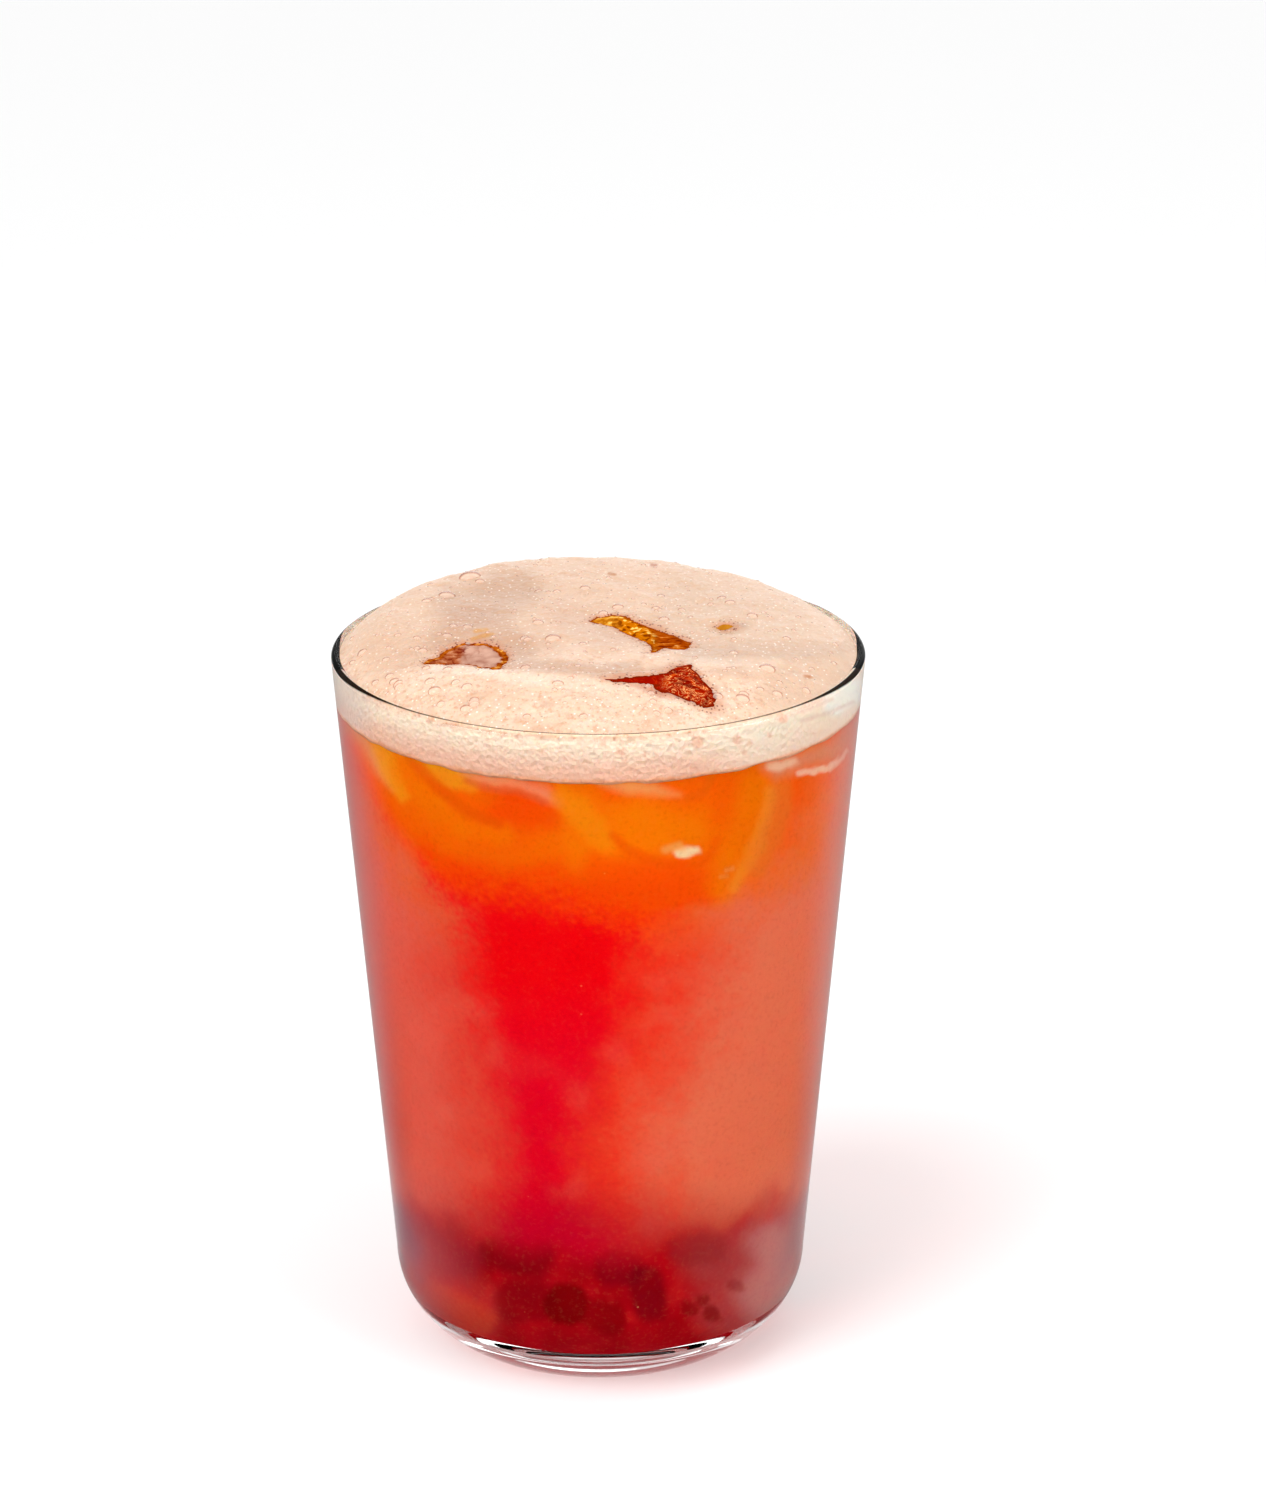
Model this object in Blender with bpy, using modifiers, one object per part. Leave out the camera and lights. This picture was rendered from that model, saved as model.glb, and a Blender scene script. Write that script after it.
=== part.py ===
"""A tapered tumbler brim-full of iced berry tea, under a head of foam that lumps of ice break through."""

import math

import bmesh
import bpy
from mathutils import Euler, Matrix, Vector, noise

# Driving dimensions of the glass, in metres
HEIGHT = 0.124
RIM_RADIUS = 0.0445
TAPER = 0.080
CORNER_HEIGHT = 0.015
FOOT_RADIUS = 0.020
PUNT_RADIUS = 0.0165
PUNT_DEPTH = 0.0006
WALL = 0.0016
FLOOR = 0.0065
INNER_CORNER_HEIGHT = 0.0115
INNER_FLOOR_RADIUS = 0.0205
LIP_STEPS = 5
CORNER_STEPS = 7
TURN_STEPS = 72

# The drink: how high the tea stands, and the gap that separate pieces keep
TEA_LEVEL = 0.1157
GAP = 0.0003

# The foam head: how far it stands above the rim, and how soon it rises from the wall
FOAM_AT_WALL = HEIGHT - 0.0004
FOAM_RISE = 0.0055
RISE_PER_X = -0.020
RISE_LENGTH_BACK = 0.0026
RISE_LENGTH_FRONT = 0.0080
FOAM_RINGS = 22
LUMP_HEIGHT = 0.0005
LUMP_SIZE = 0.011

# The fold across the foam: the front swell ends in this crest, and the foam behind it lies lower
CREST = ((-0.046, -0.014), (-0.028, -0.020), (-0.015, -0.025), (0.0, -0.0275), (0.009, -0.0255),
         (0.0163, -0.0215), (0.027, -0.020), (0.046, -0.022))
CREST_HEIGHT = 0.0006
CREST_DROP = 0.0015
CREST_WIDTH = 0.0012
CREST_LENGTH = 0.010

# Round hollows in the foam: place, half length, half width, turn in degrees, depth
HOLLOWS = (
    (-0.0205, -0.0135, 0.0105, 0.0075, -4, 0.0021),
    (-0.0168, 0.0150, 0.0075, 0.0060, 0, 0.0010),
    (-0.0195, 0.0030, 0.0070, 0.0050, 0, 0.0008),
    (0.0070, -0.0060, 0.0150, 0.0060, -42, 0.0013),
    (0.0210, -0.0030, 0.0030, 0.0022, 0, 0.0010),
)

# The open split in front of the crest, as the corners of its outline
SPLIT = ((0.0005, -0.0262), (0.0150, -0.0212), (0.0205, -0.0320), (0.0165, -0.0365), (0.0085, -0.0320))
SPLIT_DEPTH = 0.0050
SPLIT_SLOPE = 0.0030

# Lumps of ice that break through the foam: centre, lengths along its own X, Y and Z, and its turn in degrees
ICE = (
    ((-0.0205, -0.0130, 0.1160), (0.0190, 0.0185, 0.0225), (0, -3, 16)),
    ((0.0064, -0.0062, 0.1197), (0.0215, 0.0140, 0.0140), (45, 3, -42)),
    ((0.0178, -0.0254, 0.1173), (0.0155, 0.0155, 0.0160), (30, -12, 30)),
    ((0.0242, 0.0008, 0.1209), (0.0096, 0.0096, 0.0118), (-19, 20, -2)),
)
ICE_ROUNDNESS = 7
ICE_CUTS = 6
ICE_WEAR = 0.035
ICE_WEAR_SIZE = 0.8
ICE_SEED_STEP = 3.1

# Modelling: vertices this close are one, and edges sharper than this angle stay sharp
WELD = 1e-5
SHARP_ANGLE = 40


def material(name, colour, roughness, transmission=0.0, ior=1.45):
    """A Principled material of one colour."""
    made = bpy.data.materials.new(name)
    made.use_nodes = True
    shader = made.node_tree.nodes["Principled BSDF"]
    shader.inputs["Base Color"].default_value = (*colour, 1.0)
    shader.inputs["Roughness"].default_value = roughness
    shader.inputs["Transmission Weight"].default_value = transmission
    shader.inputs["IOR"].default_value = ior
    return made


def collection(name, hidden=False):
    """A collection of the scene, which a render leaves out if it is hidden."""
    made = bpy.data.collections.new(name)
    made.hide_render = hidden
    bpy.context.scene.collection.children.link(made)
    return made


def add(name, mesh, group, finish=None):
    """An object of this mesh, shaded smooth, in the group."""
    mesh.shade_smooth()
    mesh.set_sharp_from_angle(angle=math.radians(SHARP_ANGLE))
    obj = bpy.data.objects.new(name, mesh)
    if finish:
        mesh.materials.clear()
        mesh.materials.append(finish)
    group.objects.link(obj)
    return obj


def arc(centre, radii, start, end, steps):
    """Points along an elliptic arc, from start to end in degrees."""
    angles = (math.radians(start + (end - start) * i / steps) for i in range(steps + 1))
    return [(centre[0] + radii[0] * math.cos(a), centre[1] + radii[1] * math.sin(a)) for a in angles]


def turned(name, profile, group, finish=None):
    """A solid of revolution about Z. The profile starts and ends on the axis."""
    mesh = bpy.data.meshes.new(name)
    rows = [(r, 0.0, z) for r, z in profile]
    mesh.from_pydata(rows, [(i, i + 1) for i in range(len(rows) - 1)], [])
    obj = add(name, mesh, group, finish)
    screw = obj.modifiers.new("Turn", "SCREW")
    screw.steps = TURN_STEPS
    screw.render_steps = TURN_STEPS
    screw.use_merge_vertices = True
    screw.merge_threshold = WELD
    screw.use_normal_calculate = False
    return obj


def outer_radius(z):
    """The straight outer wall's radius at a height."""
    return RIM_RADIUS - (HEIGHT - z) * TAPER


def inner_radius(z):
    """The straight inner wall's radius at a height."""
    return outer_radius(z) - WALL


def glass_profile():
    """From the middle of the inner floor, up the inside, over the lip, down the outside, under the foot."""
    top = FLOOR + INNER_CORNER_HEIGHT
    inner_bend = (inner_radius(top) - INNER_FLOOR_RADIUS, INNER_CORNER_HEIGHT)
    inner_corner = arc((INNER_FLOOR_RADIUS, top), inner_bend, -90, 0, CORNER_STEPS)
    lip_z = HEIGHT - WALL / 2
    lip = arc((outer_radius(lip_z) - WALL / 2, lip_z), (WALL / 2, WALL / 2), 180, 0, LIP_STEPS)
    outer_bend = (outer_radius(CORNER_HEIGHT) - FOOT_RADIUS, CORNER_HEIGHT)
    outer_corner = arc((FOOT_RADIUS, CORNER_HEIGHT), outer_bend, 0, -90, CORNER_STEPS)
    return ([(0.0, FLOOR)] + inner_corner + lip + outer_corner
            + [(PUNT_RADIUS, 0.0), (PUNT_RADIUS - 2 * PUNT_DEPTH, PUNT_DEPTH), (0.0, PUNT_DEPTH)])


def tea_profile():
    """The inside of the glass up to the tea's level, kept clear of the wall, from the top middle down."""
    top = FLOOR + INNER_CORNER_HEIGHT
    bend = (inner_radius(top) - GAP - INNER_FLOOR_RADIUS, INNER_CORNER_HEIGHT - GAP)
    corner = arc((INNER_FLOOR_RADIUS, top), bend, 0, -90, CORNER_STEPS)
    return [(0.0, TEA_LEVEL), (inner_radius(TEA_LEVEL) - GAP, TEA_LEVEL)] + corner + [(0.0, FLOOR + GAP)]


def foam_profile():
    """A flat-topped plug from the tea to the rim, with rings across its top for the relief."""
    underside = TEA_LEVEL + GAP
    edge = inner_radius(FOAM_AT_WALL) - GAP
    rings = [(edge * i / FOAM_RINGS, FOAM_AT_WALL) for i in range(FOAM_RINGS + 1)]
    return rings + [(inner_radius(underside) - GAP, underside), (0.0, underside)]


def smooth(low, high, value):
    """0 below low, 1 above high, and a soft step between."""
    t = min(max((value - low) / (high - low), 0.0), 1.0)
    return t * t * (3.0 - 2.0 * t)


def crest_y(x):
    """Where the crest lies at this x, read from its points."""
    for (x0, y0), (x1, y1) in zip(CREST, CREST[1:]):
        if x <= x1:
            return y0 + (y1 - y0) * smooth(x0, x1, x)
    return CREST[-1][1]


def inside_by(corners, x, y):
    """How far a point lies inside a convex outline whose corners run clockwise; negative outside."""
    ends = zip(corners, corners[1:] + corners[:1])
    return min(((y1 - y0) * (x - x0) - (x1 - x0) * (y - y0)) / math.hypot(x1 - x0, y1 - y0)
               for (x0, y0), (x1, y1) in ends)


def foam_height(x, y):
    """Height of the foam's top above its edge at the wall."""
    edge = inner_radius(FOAM_AT_WALL) - GAP
    in_from_wall = max(edge - math.hypot(x, y), 0.0)
    frontness = (1.0 - y / edge) / 2
    rise_length = RISE_LENGTH_BACK + (RISE_LENGTH_FRONT - RISE_LENGTH_BACK) * frontness
    risen = 1.0 - math.exp(-in_from_wall / rise_length)
    height = (FOAM_RISE + RISE_PER_X * x) * risen
    behind = y - crest_y(x)
    swell = CREST_HEIGHT * math.exp(-(behind / CREST_LENGTH) ** 2)
    step = CREST_DROP * smooth(-CREST_WIDTH, CREST_WIDTH, behind)
    drop = step * math.exp(-max(behind, 0.0) / CREST_LENGTH)
    height += risen * (swell - drop)
    for at_x, at_y, length, width, turn, depth in HOLLOWS:
        c, s = math.cos(math.radians(turn)), math.sin(math.radians(turn))
        along = ((x - at_x) * c + (y - at_y) * s) / length
        across = ((y - at_y) * c - (x - at_x) * s) / width
        height -= depth * math.exp(-(along ** 2 + across ** 2))
    height -= SPLIT_DEPTH * smooth(-GAP, SPLIT_SLOPE, inside_by(SPLIT, x, y))
    coarse = noise.noise(Vector((x, y, 0.0)) / LUMP_SIZE)
    fine = noise.noise(Vector((x, y, LUMP_SIZE)) * 2 / LUMP_SIZE) / 2
    return height + risen * LUMP_HEIGHT * (coarse + fine)


def ice_mesh(name, lengths, seed):
    """A block with melted corners and uneven faces."""
    bm = bmesh.new()
    bmesh.ops.create_cube(bm, size=2.0)
    bmesh.ops.subdivide_edges(bm, edges=bm.edges[:], cuts=ICE_CUTS, use_grid_fill=True)
    for vert in bm.verts:
        way = vert.co.normalized()
        reach = sum(abs(c) ** ICE_ROUNDNESS for c in way) ** (-1 / ICE_ROUNDNESS)
        wear = ICE_WEAR * noise.noise(way / ICE_WEAR_SIZE + Vector((seed * ICE_SEED_STEP, 0.0, 0.0)))
        vert.co = Vector(side * length / 2 for side, length in zip(way * (reach + wear), lengths))
    mesh = bpy.data.meshes.new(name)
    bm.to_mesh(mesh)
    bm.free()
    return mesh


def cut(obj, cutters):
    """Takes every cutter's shape out of the object."""
    for cutter in cutters:
        boolean = obj.modifiers.new(cutter.name, "BOOLEAN")
        boolean.operation = "DIFFERENCE"
        boolean.solver = "EXACT"
        boolean.object = cutter


def make_glass(group):
    """The tumbler, in one piece."""
    finish = material("clear_glass", (0.97, 0.98, 0.97), 0.02, 1.0, 1.5)
    turned("glass", glass_profile(), group, finish)


def make_ice(group, cutter_group):
    """Each lump, and a slightly larger copy of it that cuts its seat in the tea and the foam."""
    finish = material("wet_ice", (0.80, 0.42, 0.24), 0.08, 0.6, 1.31)
    cutters = []
    for number, (centre, lengths, turn) in enumerate(ICE, start=1):
        place = Matrix.Translation(centre) @ Euler([math.radians(a) for a in turn]).to_matrix().to_4x4()
        add(f"ice_{number}", ice_mesh(f"ice_{number}", lengths, number), group, finish).matrix_world = place
        seat = [length + 2 * GAP for length in lengths]
        cutter = add(f"seat_{number}", ice_mesh(f"seat_{number}", seat, number), cutter_group)
        cutter.matrix_world = place
        cutter.hide_render = True
        cutter.display_type = "WIRE"
        cutters.append(cutter)
    return cutters


def make_tea(group, cutters):
    """The tea fills the glass up to the foam."""
    finish = material("berry_tea", (0.82, 0.06, 0.03), 0.1, 0.5, 1.33)
    cut(turned("tea", tea_profile(), group, finish), cutters)


def make_foam(group, cutters):
    """The plug is turned first, and then its top is raised to the foam's relief."""
    plug = turned("plug", foam_profile(), group)
    bpy.context.view_layer.update()
    mesh = bpy.data.meshes.new_from_object(plug.evaluated_get(bpy.context.evaluated_depsgraph_get()))
    bpy.data.objects.remove(plug)
    for vert in mesh.vertices:
        if vert.co.z > FOAM_AT_WALL - WELD:
            vert.co.z += foam_height(vert.co.x, vert.co.y)
    cut(add("foam", mesh, group, material("foam", (0.91, 0.72, 0.56), 0.6)), cutters)


def main():
    for obj in list(bpy.data.objects):
        bpy.data.objects.remove(obj)
    parts = collection("berry_tea_in_glass")
    cutter_group = collection("cutters", hidden=True)
    make_glass(parts)
    cutters = make_ice(parts, cutter_group)
    make_tea(parts, cutters)
    make_foam(parts, cutters)


main()
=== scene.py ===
"""The look of the iced berry tea: clear glass, cloudy tea over berries, sunk ice and a head of foam."""

import math
import random

import bmesh
import bpy
import numpy as np
from mathutils import Euler, Matrix, Vector, noise
from mathutils.bvhtree import BVHTree


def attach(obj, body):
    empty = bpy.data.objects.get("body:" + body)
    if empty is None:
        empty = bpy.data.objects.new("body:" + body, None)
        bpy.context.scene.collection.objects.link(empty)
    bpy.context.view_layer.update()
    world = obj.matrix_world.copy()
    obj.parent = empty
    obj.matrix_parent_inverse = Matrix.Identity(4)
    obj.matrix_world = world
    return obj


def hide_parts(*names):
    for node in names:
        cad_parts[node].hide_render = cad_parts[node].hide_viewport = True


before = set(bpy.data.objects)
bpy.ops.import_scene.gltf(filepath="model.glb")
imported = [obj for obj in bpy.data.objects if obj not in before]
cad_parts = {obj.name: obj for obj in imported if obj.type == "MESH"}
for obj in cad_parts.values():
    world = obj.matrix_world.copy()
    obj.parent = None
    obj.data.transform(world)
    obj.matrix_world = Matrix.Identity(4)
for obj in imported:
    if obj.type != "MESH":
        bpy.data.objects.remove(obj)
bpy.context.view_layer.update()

# The CAD part's own dimensions, in metres
HEIGHT = 0.124
RIM_RADIUS = 0.0445
TAPER = 0.080
CORNER_HEIGHT = 0.015
FOOT_RADIUS = 0.020
PUNT_RADIUS = 0.0165
PUNT_DEPTH = 0.0006
WALL = 0.0016
FLOOR = 0.0065
INNER_CORNER_HEIGHT = 0.0115
INNER_CORNER_TOP = FLOOR + INNER_CORNER_HEIGHT
INNER_FLOOR_RADIUS = 0.0205
TEA_LEVEL = 0.1157
FOAM_AT_WALL = HEIGHT - 0.0004
FOAM_RISE = 0.0055
RISE_PER_X = -0.020
RISE_LENGTH_BACK = 0.0026
RISE_LENGTH_FRONT = 0.0080
LUMP_HEIGHT = 0.0005
LUMP_SIZE = 0.011
GAP = 0.0003
CREST = ((-0.046, -0.014), (-0.028, -0.020), (-0.015, -0.025), (0.0, -0.0275), (0.009, -0.0255),
         (0.0163, -0.0215), (0.027, -0.020), (0.046, -0.022))
CREST_HEIGHT = 0.0006
CREST_DROP = 0.0015
CREST_WIDTH = 0.0012
CREST_LENGTH = 0.010
# The foam's hollows: place, length, width, turn in degrees and depth
HOLLOWS = (
    (-0.0205, -0.0135, 0.0105, 0.0075, -4, 0.0021),
    (-0.0168, 0.0150, 0.0075, 0.0060, 0, 0.0010),
    (-0.0195, 0.0030, 0.0070, 0.0050, 0, 0.0008),
    (0.0070, -0.0060, 0.0150, 0.0060, -42, 0.0013),
    (0.0210, -0.0030, 0.0030, 0.0022, 0, 0.0010),
)
# The lumps in the foam and those sunk in the tea: centre, lengths and turns in degrees
ICE = (
    ((-0.0205, -0.0130, 0.1160), (0.0190, 0.0185, 0.0225), (0, -3, 16)),
    ((0.0064, -0.0062, 0.1197), (0.0215, 0.0140, 0.0140), (45, 3, -42)),
    ((0.0178, -0.0254, 0.1173), (0.0155, 0.0155, 0.0160), (30, -12, 30)),
    ((0.0242, 0.0008, 0.1209), (0.0096, 0.0096, 0.0118), (-19, 20, -2)),
)
SUNK_ICE = (
    ((-0.0255, -0.0190, 0.1010), (0.0200, 0.0180, 0.0210), (12, 24, 20)),
    ((0.0085, -0.0280, 0.1035), (0.0240, 0.0160, 0.0200), (-14, 10, -8)),
    ((0.0300, -0.0110, 0.1060), (0.0170, 0.0160, 0.0150), (20, -30, 35)),
    ((0.0000, 0.0200, 0.1000), (0.0230, 0.0220, 0.0220), (10, 20, 50)),
    ((-0.0240, 0.0170, 0.0980), (0.0200, 0.0200, 0.0220), (30, 0, 10)),
)
ICE_ROUNDNESS = 7
ICE_WEAR = 0.035
ICE_WEAR_SIZE = 0.8
ICE_SEED_STEP = 3.1

# How far down the lip's painted shade reaches
LIP_DEPTH = 0.00055

# How far the drink reaches into the wall, so that no air shows between them, and how far it is off the floor
INTO_WALL = 0.00015
OFF_FLOOR = 0.0001

# How deep the foam is cut, how wide the cut's edge is, and how far round an opening it is felt
OPENING_DEPTH = 0.0014
OPENING_EDGE = 0.00016
OPENING_REACH = 0.003

# How fine the meshes are: points round the glass and the foam, rings on the foam, squares on the ice,
# points round the tea, and rings on each half of its wall, which meet at a height
GLASS_TURNS = 192
FOAM_TURNS = 640
FOAM_RINGS = 116
CAP_PACE = 0.0002
TEA_TURNS = 400
TEA_WALL_RINGS = 92
TEA_HALFWAY = 0.084

# How many berries lie behind those that show, and how many small bubbles lie on the foam, out to where
HIDDEN_BERRIES = 46
SMALL_BUBBLES = 260
SMALL_BUBBLES_REACH = 0.0415

# How far a bubble sinks into the foam and how flat it is, as shares of its radius
BUBBLE_SINK = 0.35
BUBBLE_FLATNESS = 0.6

# The camera's place and lens, and the photograph's size in pixels
CAMERA_DISTANCE = 0.65
CAMERA_ELEVATION = 23.39
CAMERA_PITCH = 19.703
CAMERA_YAW = 0.554
FOCAL_PIXELS = 3768.9
PHOTO_WIDTH = 1266
PHOTO_HEIGHT = 1492
SENSOR = 36.0

# Rows of the photograph between which the core turns crimson, the painted haze less orange, patchy and
# darker
CRIMSON_ROWS = (960, 1100)
LESS_ORANGE_ROWS = (985, 870)
HAZY_GLOW_ROWS = (950, 1010)
DARKER_ROWS = (1165, 1240)

# Where the red core of the tea ends to the left and to the right: row, column
CORE_LEFT = ((700, 338), (727, 345), (757, 362), (787, 380), (800, 388), (834, 410), (873, 436), (907, 466),
             (985, 474), (1060, 489), (1140, 508), (1180, 512), (1240, 496), (1400, 460))
CORE_RIGHT = ((700, 826), (767, 788), (800, 774), (850, 752), (890, 704), (912, 640), (960, 632),
              (1025, 612), (1060, 598), (1110, 580), (1150, 562), (1190, 566), (1240, 596), (1400, 700))
# Where the orange under the foam turns red, and where the berries begin: column, row
ORANGE_END = ((330, 870), (470, 892), (540, 902), (600, 916), (640, 928), (740, 948), (870, 956))
HEAP_TOP = ((330, 1190), (395, 1196), (430, 1214), (480, 1240), (530, 1252), (610, 1256), (650, 1244),
            (675, 1232), (720, 1228), (750, 1210), (795, 1198), (870, 1188))

# Marks in the tea: softness in pixels, strength and colour, then a line's points, as column, row and
# half width, or a patch's corners, as column and row
ORANGE_MARKS = (
    (34, 0.85, (255, 124, 0), (566, 806, 12), (592, 846, 16), (640, 836, 16)),
    (30, 0.70, (250, 70, 0), (492, 836, 14), (524, 806, 12), (540, 812, 6)),
    (22, 0.70, (255, 112, 0), (420, 800, 6), (446, 834, 8), (500, 850, 8), (540, 846, 6)),
    (26, 0.70, (250, 76, 0), (600, 880, 8), (660, 886, 8), (720, 892, 6)),
)
# The pale lumps under the foam at the left, in front and at the right, with painted highlights and glinting
# lines
LUMP_AND_GLINT_MARKS = (
    (8, 0.85, (240, 158, 96), (336, 712), (352, 724), (372, 744), (386, 768), (390, 790), (374, 774),
     (356, 744), (340, 728)),
    (10, 0.85, (255, 152, 20), (372, 742, 2), (380, 756, 4), (388, 776, 4), (400, 798, 1)),
    (12, 0.80, (255, 156, 24), (398, 748, 2), (424, 770, 4), (446, 779, 6), (466, 784, 3)),
    (16, 0.70, (255, 120, 0), (400, 770, 5), (430, 800, 7), (462, 824, 6), (500, 836, 3)),
    (8, 0.55, (228, 76, 0), (405, 758, 1), (418, 772, 2), (434, 789, 2), (464, 814, 2), (496, 826, 1)),
    (8, 0.85, (248, 150, 104), (456, 770), (478, 774), (500, 777), (526, 784), (546, 790), (560, 806),
     (540, 801), (514, 791), (486, 788), (468, 782)),
    (5, 0.45, (214, 74, 6), (462, 782, 1), (486, 790, 1.2), (514, 793, 1), (542, 803, 0.6)),
    (14, 0.75, (255, 142, 8), (560, 800, 3), (576, 812, 7), (598, 836, 6), (606, 846, 2)),
    (7, 0.85, (252, 166, 96), (598, 785), (630, 783), (656, 787), (682, 797), (652, 797), (625, 795)),
    (20, 0.80, (255, 128, 0), (612, 812), (660, 806), (706, 812), (716, 836), (700, 856), (664, 858),
     (630, 842)),
    (7, 0.45, (236, 78, 0), (613, 838, 0.5), (627, 851, 1.5), (649, 862, 2), (673, 867, 2), (697, 865, 2),
     (715, 854, 1.2), (722, 842, 0.5)),
    (6, 0.45, (226, 100, 10), (714, 780, 1), (708, 794, 1.2), (690, 801, 1)),
    # Painted highlights on the front lump
    (5, 0.90, (255, 222, 176), (682, 856, 2.2), (692, 854, 2.6), (699, 852, 1)),
    (6, 0.60, (255, 180, 96), (668, 852, 1.5), (682, 849, 1.5)),
    (3, 0.85, (255, 205, 140), (729, 872, 1), (737, 871, 0.8)),
    (3, 0.70, (255, 190, 120), (723, 878, 0.8), (730, 878, 0.8)),
    (26, 0.80, (255, 122, 0), (762, 792, 6), (756, 820, 8), (742, 856, 8), (728, 888, 4)),
    (9, 0.50, (255, 156, 44), (774, 792, 0.8), (771, 812, 1.5), (764, 838, 1.8), (753, 863, 1.5),
     (738, 890, 0.6)),
    (12, 0.60, (232, 120, 40), (786, 780, 4), (784, 810, 6), (774, 840, 6), (762, 868, 4)),
    (10, 0.80, (222, 146, 108), (768, 770), (792, 758), (832, 742), (862, 716), (858, 746), (832, 764),
     (800, 774), (780, 778)),
    # A painted glinting line and a painted highlight on the right lump
    (3.5, 0.80, (255, 206, 176), (803, 775, 0.6), (818, 773, 1.2), (832, 768, 1.2), (844, 759, 1),
     (850, 752, 0.5)),
    (6, 0.70, (252, 206, 172), (775, 768, 1.5), (788, 766, 2), (798, 763, 1)),
)
HEAP_MARKS = (
    (30, 0.55, (204, 56, 54), (426, 1262, 8), (442, 1290, 12), (476, 1314, 10)),
    (12, 0.35, (232, 84, 44), (428, 1290, 3), (456, 1306, 4), (484, 1320, 3)),
    (40, 0.70, (184, 70, 70), (716, 1262, 8), (748, 1262, 12), (730, 1306, 10)),
    (34, 0.75, (204, 128, 120), (778, 1246, 8), (788, 1268, 10), (764, 1296, 6)),
    (16, 0.70, (126, 0, 14), (492, 1256, 10), (535, 1260, 11)),
    (14, 0.65, (134, 0, 12), (512, 1304, 14), (532, 1304, 14)),
    (9, 0.80, (118, 0, 2), (560, 1306, 15), (570, 1307, 15)),
    (14, 0.65, (124, 0, 20), (612, 1270, 12), (628, 1272, 10)),
    (12, 0.70, (122, 0, 14), (648, 1286, 12), (652, 1308, 12)),
    (14, 0.55, (152, 30, 36), (686, 1252, 9), (716, 1250, 9)),
    (26, 0.45, (136, 34, 54), (418, 1240, 8), (452, 1258, 12)),
    (12, 0.65, (128, 0, 4), (596, 1318, 10), (610, 1320, 10)),
    (10, 0.60, (150, 12, 28), (452, 1226, 7), (460, 1226, 7)),
    (6, 0.75, (138, 4, 10), (704, 1302, 3), (708, 1302, 3)),
    (6, 0.75, (140, 4, 10), (712, 1316, 4), (716, 1316, 4)),
    (6, 0.70, (140, 4, 10), (690, 1310, 4), (694, 1311, 4)),
    (6, 0.60, (150, 10, 16), (738, 1288, 3), (742, 1288, 3)),
)
# Marks on the foam's top: painted shadows and shade, painted highlights along the folds, amber stains and
# specks
FOAM_SHADE_GLINT_AND_STAIN_MARKS = (
    (40, 0.70, (210, 172, 144), (380, 640, 14), (420, 600, 26), (540, 602, 34), (660, 602, 30)),
    (40, 0.80, (208, 174, 148), (700, 610, 24), (780, 630, 30), (830, 655, 20), (790, 690, 8)),
    (26, 0.55, (182, 144, 120), (452, 606, 4), (480, 606, 8), (502, 594, 12), (522, 588, 6)),
    (18, 0.60, (188, 146, 120), (440, 640, 3), (470, 622, 8), (500, 636, 8), (522, 648, 4)),
    (16, 0.45, (204, 166, 142), (560, 612, 6), (584, 628, 6), (606, 640, 4)),
    (12, 0.55, (194, 162, 140), (686, 655, 1), (730, 652, 3), (790, 652, 3), (840, 650, 0.5)),
    (7, 0.22, (250, 230, 210), (690, 664, 0.2), (722, 662, 0.8), (780, 662, 0.2)),
    (9, 0.70, (192, 154, 130), (512, 664, 2), (560, 667, 2.5), (604, 671, 2.5), (636, 668, 2)),
    (5, 0.35, (250, 232, 214), (430, 667, 0.5), (462, 670.5, 1.5), (500, 673.5, 1.5)),
    (8, 0.20, (250, 232, 214), (500, 676, 1), (560, 681, 3), (604, 688, 2)),
    (5, 0.60, (196, 150, 124), (618, 677.5, 0.5), (646, 673, 2), (672, 667.5, 2)),
    (4, 0.75, (196, 140, 118), (630, 684), (652, 685), (657, 690), (668, 694), (692, 703), (662, 697),
     (642, 690)),
    (5, 0.45, (214, 176, 152), (716, 690, 2), (722, 704, 3), (712, 714, 2)),
    (2.2, 0.85, (206, 148, 78), (475, 631, 0.8), (487, 630, 1)),
    (2.2, 0.85, (200, 140, 70), (472, 639.5, 1), (482, 636, 1.2), (493, 634, 0.5)),
    (2, 0.80, (180, 100, 20), (806, 677, 0.8), (810, 677, 0.8)),
    (2, 0.80, (180, 110, 50), (610, 574, 0.8), (615, 574.5, 0.6)),
    (2, 0.80, (170, 90, 40), (652, 565, 0.6), (656, 565, 0.6)),
    (5, 0.60, (186, 156, 138), (733, 626, 1), (745, 625.5, 0.5)),
)
# Marks on the foam behind the glass: a grey left end in painted shade, a right one painted bright with a
# painted highlight, thin creases painted darker as shade
FOAM_WALL_SHADE_AND_LIGHT_MARKS = (
    (26, 0.40, (212, 196, 188), (338, 670, 6), (344, 716, 8)),
    (60, 0.60, (255, 234, 212), (760, 740, 10), (850, 700, 14)),
    (10, 0.70, (255, 250, 240), (838, 706, 5), (858, 690, 6)),
    (2.5, 0.50, (226, 186, 166), (806, 722, 0.5), (832, 714, 0.8), (856, 702, 0.5)),
    (2.5, 0.45, (226, 186, 166), (790, 718, 0.4), (812, 710, 0.6), (836, 700, 0.4)),
)
# Round bubbles pressed flat against the wall: column, row and half width in pixels
WALL_BUBBLES = (
    (700, 744, 6.5), (741, 742, 5), (753, 745, 2.5), (748, 754, 2.5), (787, 720, 4.5), (622, 753, 4.5),
    (603, 744, 3.5), (626, 763, 2.5), (646, 756, 1.5), (658, 757, 1.5), (688, 773, 2.5), (774, 737, 2.5),
    (540, 754, 2.5), (448, 751, 2), (394, 749, 1.5),
)

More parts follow.
